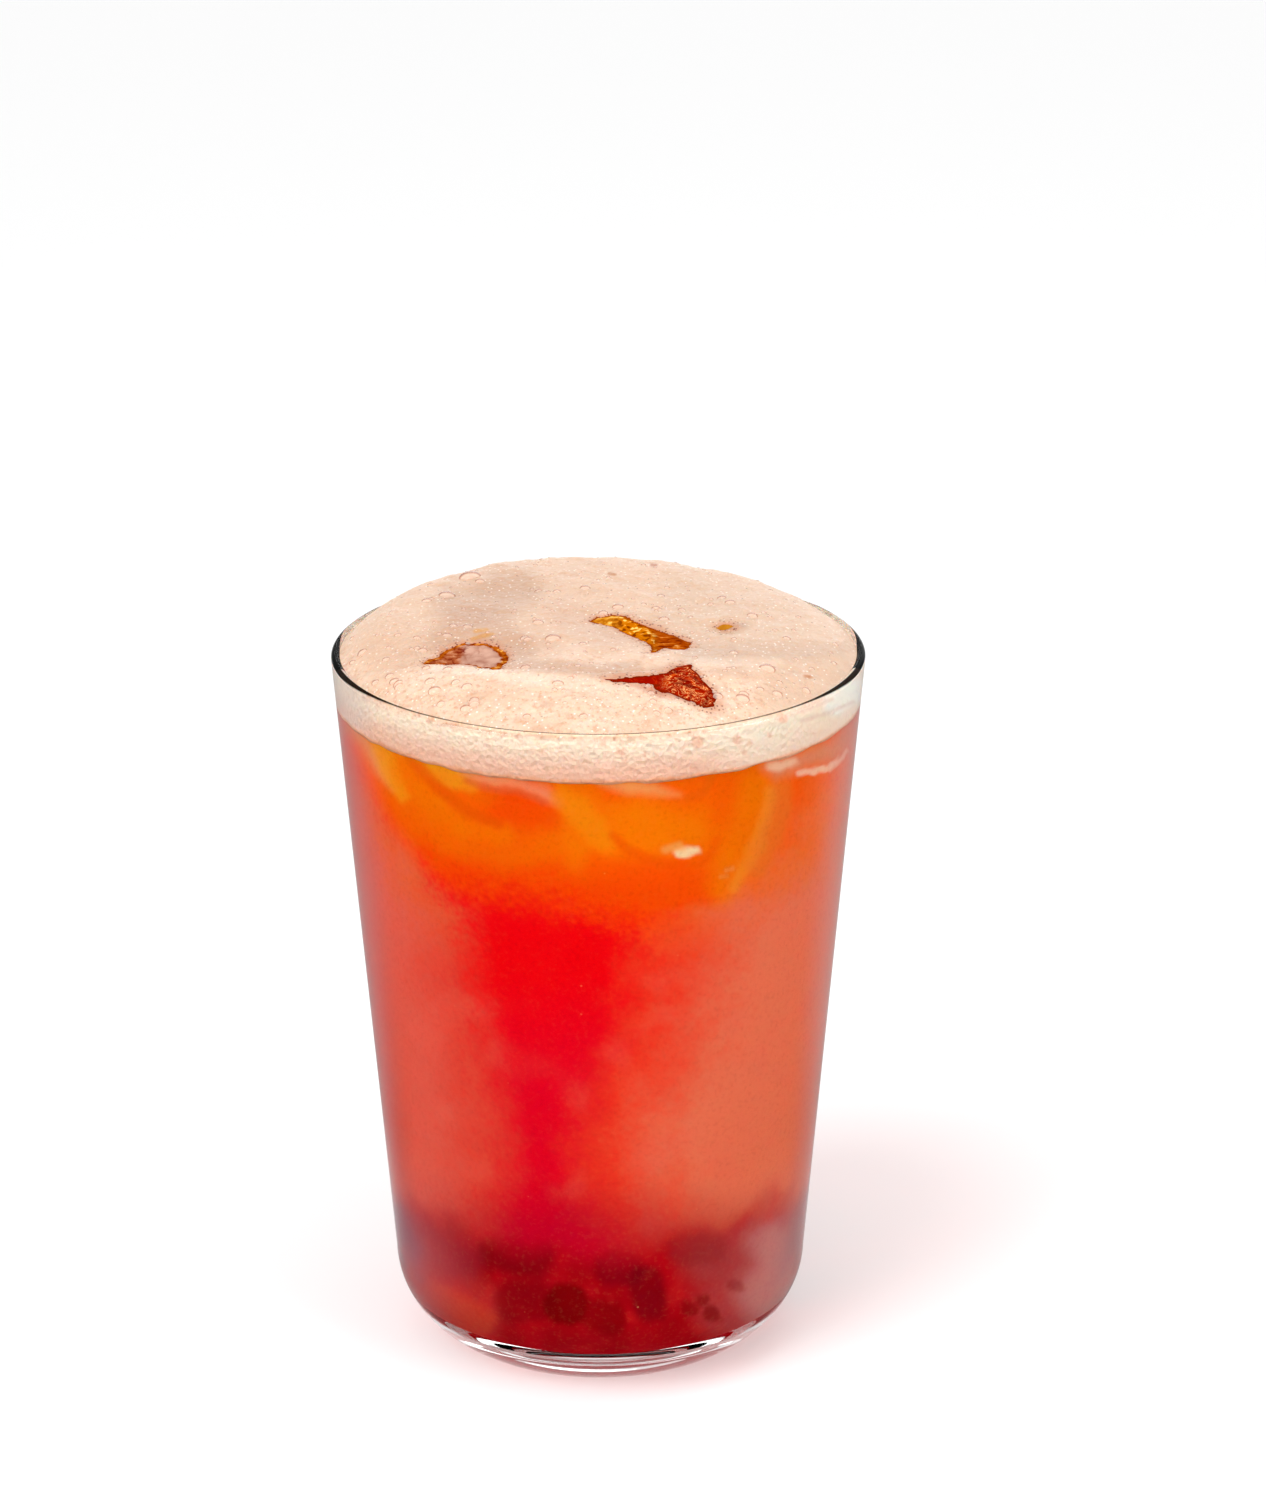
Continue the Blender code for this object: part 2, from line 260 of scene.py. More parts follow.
# The openings in the foam where ice or tea shows, as pixels of the photograph round each one
OPENINGS = (
    ((424, 663), (430, 659), (439, 657), (442, 653), (449, 649), (455, 646), (464, 643), (473, 643.5),
     (483, 643.5), (495, 646), (502, 650), (508.5, 656), (507, 661), (502, 666), (499, 670), (479, 667),
     (466, 665), (456, 664.5), (438, 664)),
    ((590, 621), (597, 617), (613, 614.5), (624, 616), (634, 621), (645, 625.5), (657, 629.5), (667, 633),
     (679, 637.5), (690, 642.5), (689, 646.5), (684, 649.5), (675, 649.5), (667, 647.5), (662, 648),
     (656, 651.5), (650.5, 653), (652.5, 648.5), (651, 644), (645, 641.5), (641, 640.5), (637, 638),
     (630, 635), (622, 631.5), (615, 627), (607, 625.5), (599, 623.5)),
    ((605, 679), (615, 679), (632, 677), (649, 675.5), (660, 674), (670, 671.5), (677, 667.5), (684, 665.5),
     (691, 668), (697, 673), (702, 680), (709, 687), (714.5, 695), (715, 700), (712, 704), (706, 706.5),
     (699, 704.5), (694, 701), (687, 699), (680, 696), (672, 693), (666, 691), (657, 689), (654, 686.5),
     (659, 684.5), (650, 684), (640, 683), (627, 681.8), (616, 680.6)),
    ((719.5, 626.5), (722, 624.6), (728, 624.4), (731.5, 626.3), (728, 628.2), (722, 628.3)),
)
# Berries that show through the wall: column, row and radius in millimetres
SEEN_BERRIES = (
    (412, 1230, 4.5), (450, 1248, 4.0), (502, 1262, 4.5), (536, 1266, 4.5), (587, 1256, 4.0),
    (617, 1276, 4.2), (565, 1306, 4.4), (602, 1318, 4.0), (646, 1284, 4.2), (656, 1304, 4.0),
    (520, 1302, 4.2), (682, 1250, 4.4), (745, 1238, 4.6), (714, 1250, 3.6), (712, 1312, 2.6),
    (687, 1320, 2.2), (740, 1286, 3.4), (470, 1290, 3.4),
)
# Bubbles that stand out on the foam: column, row and radius in millimetres
BUBBLES = (
    (470, 576, 2.0), (447, 595, 1.5), (585, 588, 1.0), (538, 622, 1.0), (553, 638, 1.4), (528, 639, 0.8),
    (618, 607, 1.1), (480, 581, 0.9), (398, 635, 0.7), (423, 650, 0.8), (353, 662, 0.7), (448, 669, 0.9),
    (558, 683, 1.0), (435, 690, 1.2), (395, 681, 1.0), (376, 682, 0.8), (466, 708, 1.0), (722, 598, 0.9),
    (767, 668, 1.4), (742, 698, 1.3), (760, 689, 0.7), (527, 716, 0.7), (583, 716, 0.7), (798, 617, 0.6),
    (835, 644, 0.6), (353, 638, 0.6),
)
# Where smaller bubbles crowd: the first and last column and row, and how many
BUBBLE_FIELDS = (
    (376, 676, 480, 714, 14), (420, 590, 560, 650, 24), (350, 630, 430, 690, 10), (540, 575, 720, 620, 14),
    (560, 684, 700, 725, 14), (700, 680, 830, 705, 10), (690, 590, 840, 670, 14), (500, 640, 600, 700, 10),
)


def linear(colour):
    """A linear colour. Whole numbers stand for screen values from 0 to 255."""
    if isinstance(colour[0], float):
        return colour
    shares = [value / 255.0 for value in colour]
    return tuple(c / 12.92 if c <= 0.04045 else ((c + 0.055) / 1.055) ** 2.4 for c in shares)


class Graph:
    """A short way to write the nodes of a material."""

    def __init__(self, name):
        self.material = bpy.data.materials.new(name)
        self.material.use_nodes = True
        self.tree = self.material.node_tree
        self.shader = self.tree.nodes["Principled BSDF"]
        self.output = self.tree.nodes["Material Output"]

    def plug(self, value, socket):
        """Links a socket, or sets a plain value or colour."""
        if isinstance(value, bpy.types.NodeSocket):
            self.tree.links.new(value, socket)
        elif socket.type == "RGBA":
            socket.default_value = (*linear(value), 1.0)
        else:
            socket.default_value = value

    def add(self, kind, inputs, out=0, **settings):
        """A new node's output, from its kind, what goes into it and its settings."""
        node = self.tree.nodes.new("ShaderNode" + kind)
        for key, value in settings.items():
            setattr(node, key, value)
        for key, value in inputs.items():
            self.plug(value, node.inputs[key])
        return node.outputs[out]

    def set(self, **values):
        """Sets the shader's inputs, with _ for the space in a name."""
        for key, value in values.items():
            self.plug(value, self.shader.inputs[key.replace("_", " ")])

    def place(self):
        return self.add("TexCoord", {}, "Object")

    def axes(self, vector):
        return self.add("SeparateXYZ", {0: vector}, slice(3))

    def stored(self, name, out="Fac"):
        """A value stored on the mesh's points."""
        return self.add("Attribute", {}, out, attribute_name=name)

    def math(self, operation, a, b=0.0):
        return self.add("Math", {0: a, 1: b}, operation=operation)

    def plus(self, a, b):
        return self.math("ADD", a, b)

    def minus(self, a, b):
        return self.math("SUBTRACT", a, b)

    def times(self, a, b):
        return self.math("MULTIPLY", a, b)

    def shaken(self, value, waves, amount):
        """A number moved up and down by noise around a half."""
        return self.plus(value, self.times(self.minus(waves, 0.5), amount))

    def smooth(self, low, high, value, to_low=0.0, to_high=1.0):
        """A soft step between two values of a number."""
        inputs = {"Value": value, "From Min": low, "From Max": high, "To Min": to_low, "To Max": to_high}
        return self.add("MapRange", inputs, interpolation_type="SMOOTHSTEP")

    def mix(self, share, under, over):
        return self.add("Mix", {0: share, 6: under, 7: over}, 2, data_type="RGBA")

    def over(self, colour, *layers):
        """Colours over one another, each with its share before it."""
        for share, layer in layers:
            colour = self.mix(share, colour, layer)
        return colour

    def stretched(self, vector, scale):
        return self.add("Mapping", {"Vector": vector, "Scale": scale})

    def noise(self, vector, scale, detail=3.0, roughness=0.5, distortion=0.0):
        return self.add("TexNoise", {"Vector": vector, "Scale": scale, "Detail": detail,
                                     "Roughness": roughness, "Distortion": distortion}, "Fac")

    def cells(self, vector, scale, feature="F1"):
        return self.add("TexVoronoi", {"Vector": vector, "Scale": scale}, "Distance", feature=feature)

    def ramp(self, value, *stops):
        """The colour for a number, from stops that each hold a number and a colour."""
        colour = self.add("ValToRGB", {0: value})
        band = colour.node.color_ramp
        band.interpolation = "EASE"
        while len(band.elements) < len(stops):
            band.elements.new(0.5)
        for element, (at, shade) in zip(band.elements, stops):
            element.position = at
            element.color = (*linear(shade), 1.0)
        return colour

    def bump(self, height, distance, strength, **before):
        return self.add("Bump", {"Strength": strength, "Distance": distance, "Height": height, **before})

    def blend(self, share, under, over):
        return self.add("MixShader", {0: share, 1: under, 2: over})

    def clear(self, tint):
        return self.add("BsdfTransparent", {"Color": tint})

    def lit_through(self, tint, surface=None):
        """The material, with lamps shining straight through it, tinted, where the view sees it bend."""
        lamps = self.add("LightPath", {}, "Is Shadow Ray")
        through = self.blend(lamps, surface or self.shader.outputs[0], self.clear(tint))
        self.plug(through, self.output.inputs["Surface"])
        return self.material


class Paint:
    """Colours laid over one another on the points of a mesh, and how much of it they cover."""

    def __init__(self, count, colour, cover):
        self.colours = np.tile(linear(colour), (count, 1))
        self.cover = np.full((count, 1), cover)

    def lay(self, share, colour, strength=1.0):
        share = (share * strength)[:, None]
        left = self.cover * (1.0 - share)
        self.cover = share + left
        mixed = (np.array(linear(colour)) * share + self.colours * left) / np.maximum(self.cover, 1e-4)
        self.colours = np.where(self.cover > 1e-4, mixed, self.colours)

    def mark(self, columns, rows, marks, share=1.0):
        for soft, strength, colour, *points in marks:
            draw = stroke if len(points[0]) == 3 else patch
            self.lay(share * draw(columns, rows, points, soft), colour, strength)

    def store(self, obj):
        layer = obj.data.attributes.new("paint", "FLOAT_COLOR", "POINT")
        layer.data.foreach_set("color", np.hstack([self.colours, self.cover]).astype(np.float32).ravel())


def camera_axes():
    """The camera's place, and the ways it looks ahead, right and up."""
    elevation, pitch, yaw = (math.radians(a) for a in (CAMERA_ELEVATION, CAMERA_PITCH, CAMERA_YAW))
    place = Vector((0.0, -math.cos(elevation), math.sin(elevation))) * CAMERA_DISTANCE
    place.z += HEIGHT / 2
    ahead = Vector((math.sin(yaw) * math.cos(pitch), math.cos(yaw) * math.cos(pitch), -math.sin(pitch)))
    right = Vector((math.cos(yaw), -math.sin(yaw), 0.0))
    return place, ahead, right, right.cross(ahead)


def camera_ray(column, row):
    """The camera's place and the line of sight through a pixel of the photograph."""
    place, ahead, right, up = camera_axes()
    aside = (column - PHOTO_WIDTH / 2) / FOCAL_PIXELS
    above = (PHOTO_HEIGHT / 2 - row) / FOCAL_PIXELS
    return place, (ahead + right * aside + up * above).normalized()


def photo_places(verts, mirrored=False):
    """The columns and rows of the photograph where points show; the back's are those of the front."""
    place, ahead, right, up = (np.array(way) for way in camera_axes())
    spots = np.array(verts)
    if mirrored:
        spots[:, 1] = -np.abs(spots[:, 1])
    away = spots - place
    scale = FOCAL_PIXELS / (away @ ahead)
    return PHOTO_WIDTH / 2 + scale * (away @ right), PHOTO_HEIGHT / 2 - scale * (away @ up)


def out_from_axis(verts):
    return np.maximum(np.hypot(verts[:, 0], verts[:, 1]), 1e-6)


def seen_on_wall(verts):
    """Points moved out by the wall's thickness, as the glass shows what lies behind it nearer."""
    swell = 1 + WALL / out_from_axis(verts)
    return verts * np.column_stack([swell, swell, np.ones(len(verts))])


def step(low, high, values):
    """The soft step between low and high."""
    t = np.minimum(np.maximum((values - low) / (high - low), 0.0), 1.0)
    return t * t * (3.0 - 2.0 * t)


def from_segment(x, y, x0, y0, x1, y1):
    """How far along a segment each point's nearest place lies, from 0 to 1, and how far off it is."""
    ex, ey = x1 - x0, y1 - y0
    along = np.clip(((x - x0) * ex + (y - y0) * ey) / (ex * ex + ey * ey), 0.0, 1.0)
    return along, np.hypot(x - x0 - along * ex, y - y0 - along * ey)


def signed_distance(corners, x, y):
    """Distance of points to a closed outline, positive inside."""
    inside = np.zeros(x.shape, bool)
    nearest = np.full(x.shape, 1e9)
    for (x0, y0), (x1, y1) in zip(corners, corners[1:] + corners[:1]):
        nearest = np.minimum(nearest, from_segment(x, y, x0, y0, x1, y1)[1])
        if y0 != y1:
            inside ^= ((y0 > y) != (y1 > y)) & (x < x0 + (y - y0) * (x1 - x0) / (y1 - y0))
    return np.where(inside, nearest, -nearest)


def stroke(columns, rows, points, soft):
    """How much a brush stroke covers."""
    cover = np.zeros(columns.shape)
    for (x0, y0, w0), (x1, y1, w1) in zip(points, points[1:]):
        along, off = from_segment(columns, rows, x0, y0, x1, y1)
        cover = np.maximum(cover, step(soft, 0.0, off - (w0 + (w1 - w0) * along)))
    return cover


def patch(columns, rows, corners, soft):
    """How much a soft-edged patch covers."""
    return step(-soft, soft, signed_distance(corners, columns, rows))


def rough(x, y, z, size):
    """Smooth noise at one point, from about -1 to 1."""
    return noise.noise(Vector((x, y, z)) / size)


def wave(verts, size, seed=0.0):
    """Smooth noise at each point, from about -1 to 1."""
    return np.array([noise.noise(Vector(spot) / size + Vector((seed, 0.0, 0.0))) for spot in verts])


def number_layer(obj, name, values):
    """Stores a number for each point of a mesh, for its material."""
    layer = obj.data.attributes.new(name, "FLOAT", "POINT")
    layer.data.foreach_set("value", np.asarray(values, dtype=np.float32))


def add_object(name, verts, faces, material):
    """A smooth mesh object that rides on the glass."""
    mesh = bpy.data.meshes.new(name)
    mesh.from_pydata(verts, [], faces)
    mesh.materials.append(material)
    mesh.shade_smooth()
    obj = bpy.data.objects.new(name, mesh)
    bpy.context.scene.collection.objects.link(obj)
    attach(obj, "root")
    return obj


def joined(pieces):
    """One list of points and one of faces from several."""
    points, faces = [], []
    for spots, sides in pieces:
        start = len(points)
        points += spots
        faces += [tuple(i + start for i in side) for side in sides]
    return points, faces


def arc(centre, radii, start, end, steps):
    """Points along an elliptic arc, from start to end in degrees."""
    angles = (math.radians(start + (end - start) * i / steps) for i in range(steps + 1))
    return [(centre[0] + radii[0] * math.cos(a), centre[1] + radii[1] * math.sin(a)) for a in angles]


def circle(turns):
    return np.arange(turns) * (2 * math.pi / turns)


def turned(profile, angles):
    """Points and faces of a solid of revolution. The profile starts and ends on the axis."""
    turns = len(angles)
    radii, heights = np.array(profile[1:-1]).T
    level = np.outer(heights, np.ones(turns))
    rings = np.stack((np.outer(radii, np.cos(angles)), np.outer(radii, np.sin(angles)), level), axis=-1)
    rings = rings.reshape(-1, 3)
    verts = np.vstack([(0.0, 0.0, profile[0][1]), rings, (0.0, 0.0, profile[-1][1])])
    pairs = [(a, (a + 1) % turns) for a in range(turns)]
    faces = [(0, 1 + a, 1 + b) for a, b in pairs]
    last = 1 + len(rings) - turns
    for ring in range(1, last, turns):
        faces += [(ring + a, ring + turns + a, ring + turns + b, ring + b) for a, b in pairs]
    faces += [(last + a, last + turns, last + b) for a, b in pairs]
    return verts, faces


def outer_radius(z):
    """The straight outer wall's radius at a height."""
    return RIM_RADIUS - (HEIGHT - z) * TAPER


def inner_radius(z):
    """The straight inner wall's radius at a height."""
    return outer_radius(z) - WALL


def glass_profile():
    """From the middle of the inner floor, up the inside, over the lip, down the outside, under the foot."""
    inner_bend = (inner_radius(INNER_CORNER_TOP) - INNER_FLOOR_RADIUS, INNER_CORNER_HEIGHT)
    inner_corner = arc((INNER_FLOOR_RADIUS, INNER_CORNER_TOP), inner_bend, -90, 0, 28)
    lip_z = HEIGHT - WALL / 2
    lip = arc((outer_radius(lip_z) - WALL / 2, lip_z), (WALL / 2, WALL / 2), 180, 0, 20)
    outer_bend = (outer_radius(CORNER_HEIGHT) - FOOT_RADIUS, CORNER_HEIGHT)
    outer_corner = arc((FOOT_RADIUS, CORNER_HEIGHT), outer_bend, 0, -90, 28)
    return ([(0.0, FLOOR)] + inner_corner + lip + outer_corner
            + [(PUNT_RADIUS, 0.0), (PUNT_RADIUS - 2 * PUNT_DEPTH, PUNT_DEPTH), (0.0, PUNT_DEPTH)])


def tea_profile():
    """The inside of the glass up to the foam, from the top middle down.

    It reaches just into the wall, and stays just off the flat floor, where the glass carries light across.
    """
    top = INNER_CORNER_TOP
    bend = (inner_radius(top) + INTO_WALL - INNER_FLOOR_RADIUS, INNER_CORNER_HEIGHT - OFF_FLOOR)
    surface = TEA_LEVEL + GAP
    rings = [((inner_radius(surface) + INTO_WALL) * i / 8, surface) for i in range(9)]
    upper = np.linspace(surface, TEA_HALFWAY, TEA_WALL_RINGS)[1:]
    heights = np.concatenate([upper, np.linspace(TEA_HALFWAY, top, TEA_WALL_RINGS)[1:-1]])
    walls = [(inner_radius(z) + INTO_WALL, z) for z in heights]
    return rings + walls + arc((INNER_FLOOR_RADIUS, top), bend, 0, -90, 36) + [(0.0, FLOOR + OFF_FLOOR)]


def crest_y(x):
    """Where the foam's crest lies at this x."""
    for (x0, y0), (x1, y1) in zip(CREST, CREST[1:]):
        if x <= x1:
            return y0 + (y1 - y0) * step(x0, x1, x)
    return CREST[-1][1]


def hollows_at(x, y):
    """How much each hollow of the foam is felt at a place, and how deep it is."""
    for at_x, at_y, length, width, turn, depth in HOLLOWS:
        c, s = math.cos(math.radians(turn)), math.sin(math.radians(turn))
        along = ((x - at_x) * c + (y - at_y) * s) / length
        across = ((y - at_y) * c - (x - at_x) * s) / width
        yield np.exp(-(along ** 2 + across ** 2)), depth


def foam_height(x, y):
    """Height of the foam's top above its edge at the wall, as in the CAD part but with no split."""
    edge = inner_radius(FOAM_AT_WALL) - GAP
    in_from_wall = max(edge - math.hypot(x, y), 0.0)
    frontness = (1.0 - y / edge) / 2
    rise_length = RISE_LENGTH_BACK + (RISE_LENGTH_FRONT - RISE_LENGTH_BACK) * frontness
    risen = 1.0 - math.exp(-in_from_wall / rise_length)
    height = (FOAM_RISE + RISE_PER_X * x) * risen
    behind = y - crest_y(x)
    swell = CREST_HEIGHT * math.exp(-(behind / CREST_LENGTH) ** 2)
    fall = CREST_DROP * step(-CREST_WIDTH, CREST_WIDTH, behind)
    height += risen * (swell - fall * math.exp(-max(behind, 0.0) / CREST_LENGTH))
    height -= sum(depth * felt for felt, depth in hollows_at(x, y))
    lumps = rough(x, y, 0.0, LUMP_SIZE) + rough(x, y, LUMP_SIZE, LUMP_SIZE / 2) / 2
    return height + risen * LUMP_HEIGHT * lumps


def block(centre, lengths, turn, seed, cuts, ripple, ripple_size):
    """Points and faces of a block with melted corners and rippled faces."""
    bm = bmesh.new()
    bmesh.ops.create_cube(bm, size=2.0)
    bmesh.ops.subdivide_edges(bm, edges=bm.edges[:], cuts=cuts, use_grid_fill=True)
    place = Matrix.Translation(centre) @ Euler([math.radians(a) for a in turn]).to_matrix().to_4x4()
    mean = sum(lengths) / 3
    start = seed * ICE_SEED_STEP
    points = []
    for vert in bm.verts:
        way = vert.co.normalized()
        reach = sum(abs(c) ** ICE_ROUNDNESS for c in way) ** (-1 / ICE_ROUNDNESS)
        wear = ICE_WEAR * noise.noise(way / ICE_WEAR_SIZE + Vector((start, 0.0, 0.0)))
        point = Vector(side * length / 2 for side, length in zip(way * (reach + wear), lengths))
        shift = noise.noise(point / ripple_size + Vector((0.0, start, 0.0)))
        shift += 0.5 * noise.noise(point * 2.3 / ripple_size + Vector((0.0, 0.0, start)))
        points.append(place @ (point * (1.0 + ripple * shift * 2 / mean)))
    return points, faces_of(bm)


def faces_of(bm):
    """The faces of a mesh in the making, which isn't needed after this."""
    faces = [tuple(v.index for v in face.verts) for face in bm.faces]
    bm.free()
    return faces


def glass_material():
    g = Graph("clear_glass")
    g.set(Base_Color=(0.99, 0.995, 0.99), Roughness=0.0, IOR=1.5, Transmission_Weight=1.0)
    return g.lit_through((0.97, 0.97, 0.97))


def from_middle(g, x, y):
    """Distance from the glass's axis."""
    return g.math("SQRT", g.plus(g.times(x, x), g.times(y, y)))


def lip_material():
    """The rounded lip: a dark line of painted shade runs round it, broad and black at the far left and
    right.
    """
    g = Graph("glass_lip")
    x, y = g.axes(g.place())[:2]
    aside = g.math("ABSOLUTE", g.math("DIVIDE", x, RIM_RADIUS))
    front = g.math("DIVIDE", y, -RIM_RADIUS)
    across = g.math("DIVIDE", g.minus(from_middle(g, x, y), RIM_RADIUS - WALL), WALL)
    ahead = g.math("MAXIMUM", front, -0.10)
    bow = g.times(g.times(ahead, ahead), 0.12)
    middle = g.minus(g.plus(bow, 0.84), g.times(ahead, 0.49))
    half = g.times(g.smooth(0.70, 0.96, aside, 0.13, 0.27), g.smooth(-0.50, 0.0, front, 0.35, 1.0))
    off = g.minus(g.math("ABSOLUTE", g.minus(across, middle)), half)
    # The painted shade: grey in front, black at the far left and right
    shade = g.mix(g.smooth(0.35, 0.80, aside), (0.09, 0.08, 0.07), (0.0006, 0.0003, 0.0002))
    dark = g.times(g.smooth(0.05, -0.05, off), g.smooth(-0.62, -0.42, front))
    g.set(Base_Color=g.mix(dark, (0.97, 0.96, 0.94), shade), Roughness=0.0, IOR=1.04,
          Specular_IOR_Level=0.0, Transmission_Weight=1.0)
    return g.lit_through((0.97, 0.97, 0.97))


def tea_material():
    g = Graph("berry_tea")
    spot = g.place()
    grain = g.noise(spot, 1300.0, 3.0, 0.7)
    fibres = g.noise(g.stretched(spot, (1.0, 1.0, 0.5)), 160.0, 2.0)
    dots = g.times(g.smooth(0.08, 0.04, g.cells(spot, 330.0)), g.smooth(0.56, 0.66, fibres, 0.0, 0.30))
    colour = g.over(
        g.stored("paint", "Color"),
        (g.smooth(0.50, 0.70, grain, 0.0, 0.12), (150, 10, 10)),
        (g.smooth(0.50, 0.30, grain, 0.0, 0.03), (255, 190, 120)),
        (dots, (255, 170, 110)))
    g.set(Base_Color=colour, Roughness=0.18, IOR=1.33, Transmission_Weight=0.06, Specular_IOR_Level=0.0,
          Subsurface_Weight=1.0, Subsurface_Radius=(1.0, 0.25, 0.15), Subsurface_Scale=0.0016)
    absorb = g.add("VolumeAbsorption", {"Color": (0.99, 0.10, 0.05), "Density": 60.0})
    g.plug(absorb, g.output.inputs["Volume"])
    return g.lit_through((0.85, 0.50, 0.42))


def foam_material():
    g = Graph("foam")
    spot = g.place()
    z = g.axes(spot)[2]
    middle = g.noise(spot, 260.0, 3.0, 0.6)
    small = g.noise(spot, 900.0, 3.0, 0.6)
    specks = g.cells(spot, 1150.0)
    into = g.stored("into_opening")
    ragged = g.shaken(into, middle, 2.4)
    low = g.smooth(FOAM_AT_WALL - 0.0004, FOAM_AT_WALL - 0.0012, z)
    on_top = g.minus(1.0, g.times(low, 0.65))
    beads = g.times(g.smooth(0.20, 0.10, g.cells(spot, 950.0)), g.smooth(0.1216, 0.1224, z, 0.0, 0.7))
    pits = g.smooth(0.32, 0.20, g.cells(spot, 1500.0), 0.0, 0.95)
    colour = g.over(
        g.ramp(g.noise(spot, 70.0), (0.30, (220, 184, 156)), (0.70, (233, 204, 180))),
        (g.smooth(0.50, 0.68, middle, 0.0, 0.45), (202, 156, 126)),
        # Painted shade in the foam's hollows
        (g.times(g.stored("hollow"), g.smooth(0.35, 0.60, middle, 0.35, 0.85)), (176, 136, 112)),
        (low, g.mix(g.smooth(0.1225, 0.1163, z), (250, 226, 202), (240, 188, 162))),
        (g.times(g.smooth(0.26, 0.14, specks, 0.0, 0.45), on_top), (200, 136, 102)),
        (g.times(g.smooth(0.52, 0.68, small, 0.0, 0.60), on_top), (206, 150, 116)),
        (g.stored("paint", "Alpha"), g.stored("paint", "Color")),
        # Tiny bubbles just under the rim, painted as bright glinting dots
        (g.times(beads, g.minus(1.0, low)), (255, 248, 240)),
        # Brownish painted shade round the openings
        (g.smooth(-1.9, -0.1, ragged, 0.0, 0.60), (196, 130, 94)),
        (g.times(g.smooth(-2.4, -0.4, ragged), pits), (112, 40, 14)),
        (g.smooth(-0.04, 0.14, into), (160, 70, 32)))
    g.set(Base_Color=colour, Roughness=0.45, Subsurface_Weight=0.5, Subsurface_Scale=0.0015,
          Subsurface_Radius=(1.0, 0.5, 0.3), Specular_IOR_Level=0.4)
    leather = g.bump(g.cells(spot, 620.0, "SMOOTH_F1"), 0.0004, 0.5)
    g.set(Normal=g.bump(small, 0.00034, 0.9, Normal=g.bump(specks, 0.00024, 0.8, Normal=leather)))
    return g.material


def wet_ice_material(number, colour_of):
    """Wet ice that shows tea through itself. Each lump has its own colours, with painted glints for its
    shine.
    """
    g = Graph(f"wet_ice_{number}")
    spot = g.place()
    g.set(Base_Color=colour_of(g, spot, g.axes(spot)[0], g.stored("into_opening")), Roughness=0.10, IOR=1.31,
          Transmission_Weight=0.0, Specular_IOR_Level=0.0,
          Normal=g.bump(g.noise(spot, 900.0, 3.0, 0.5, 0.5), 0.00016, 0.7))
    return g.lit_through((0.8, 0.4, 0.2))


def left_lump(g, spot, x, into):
    streaks = g.noise(g.stretched(spot, (1.0, 0.30, 1.0)), 900.0, 3.0, 0.6, 0.8)
    blots = g.noise(spot, 700.0, 3.0, 0.6, 0.6)
    along = g.shaken(x, blots, 0.004)
    rim = g.minus(g.shaken(into, blots, 1.8), g.smooth(-0.0185, -0.0162, x, 0.0, 0.45))
    brown = g.ramp(blots, (0.36, (108, 16, 0)), (0.50, (156, 76, 40)), (0.68, (196, 130, 92)))
    # The amber rim, with painted glints at its brightest
    amber = g.ramp(blots, (0.38, (128, 42, 0)), (0.54, (176, 88, 14)), (0.68, (240, 180, 84)))
    return g.over(
        g.ramp(g.noise(spot, 260.0, 2.0), (0.36, (172, 122, 102)), (0.64, (202, 158, 138))),
        (g.smooth(0.52, 0.72, streaks, 0.0, 0.5), (150, 94, 70)),
        (g.smooth(-0.0212, -0.0228, along), brown),
        (g.smooth(-0.0262, -0.0275, along), (110, 8, 0)),
        (g.smooth(0.8, 0.35, rim), amber))


def middle_lump(g, spot, x, into):
    beads = g.noise(spot, 700.0, 2.0, 0.5, 0.9)
    streaks = g.noise(g.stretched(spot, (0.4, 1.0, 1.0)), 900.0, 3.0, 0.6, 0.7)
    # The beads' and streaks' brightest ends, here and below, are painted glints
    gold = g.ramp(beads, (0.34, (120, 48, 0)), (0.45, (188, 98, 0)), (0.57, (206, 120, 8)),
                  (0.63, (255, 204, 104)))
    red = g.ramp(streaks, (0.36, (104, 22, 0)), (0.50, (160, 62, 0)), (0.62, (190, 98, 20)),
                 (0.72, (240, 178, 100)))
    return g.over(
        g.ramp(beads, (0.30, (170, 94, 6)), (0.50, (214, 142, 36)), (0.66, (244, 190, 100))),
        (g.smooth(0.0015, 0.0045, x), gold),
        (g.smooth(0.0075, 0.0105, x), red),
        (g.smooth(0.45, 0.05, into), (146, 62, 6)))


def right_lump(g, spot, x, into):
    ripples = g.noise(spot, 520.0, 2.0, 0.5, 2.6)
    folds = g.noise(spot, 300.0, 2.0, 0.5, 1.6)
    none, full = (0, 0, 0), (255, 255, 255)
    # Thin painted glints along the ripples of the wet face, laid over its dark red
    lines = g.ramp(ripples, (0.45, none), (0.48, full), (0.50, full), (0.53, none))
    dark = g.ramp(folds, (0.35, (112, 6, 0)), (0.55, (158, 24, 0)), (0.70, (192, 66, 10)))
    wet = g.mix(g.times(lines, g.smooth(0.40, 0.60, folds, 0.15, 0.75)), dark, (255, 186, 112))
    return g.over(
        g.mix(g.smooth(0.50, 0.75, ripples), (142, 10, 0), (176, 36, 4)),
        (g.smooth(0.0092, 0.0118, x), wet),
        (g.smooth(0.40, 0.05, into), (120, 24, 2)))


def small_lump(g, spot, x, into):
    return g.mix(g.noise(spot, 900.0), (150, 82, 8), (206, 140, 40))


def sunk_ice_material():
    g = Graph("sunk_ice")
    clouds = g.ramp(g.noise(g.place(), 120.0, 4.0), (0.3, (255, 180, 100)), (0.7, (255, 232, 205)))
    g.set(Base_Color=clouds, Roughness=0.15, IOR=1.05, Transmission_Weight=0.35)
    return g.lit_through((0.95, 0.9, 0.85))


def berry_material():
    g = Graph("berries")
    patches = g.ramp(g.noise(g.place(), 220.0), (0.35, (70, 4, 20)), (0.65, (150, 10, 22)))
    g.set(Base_Color=patches, Roughness=0.35, Subsurface_Weight=0.3, Subsurface_Scale=0.002)
    return g.material


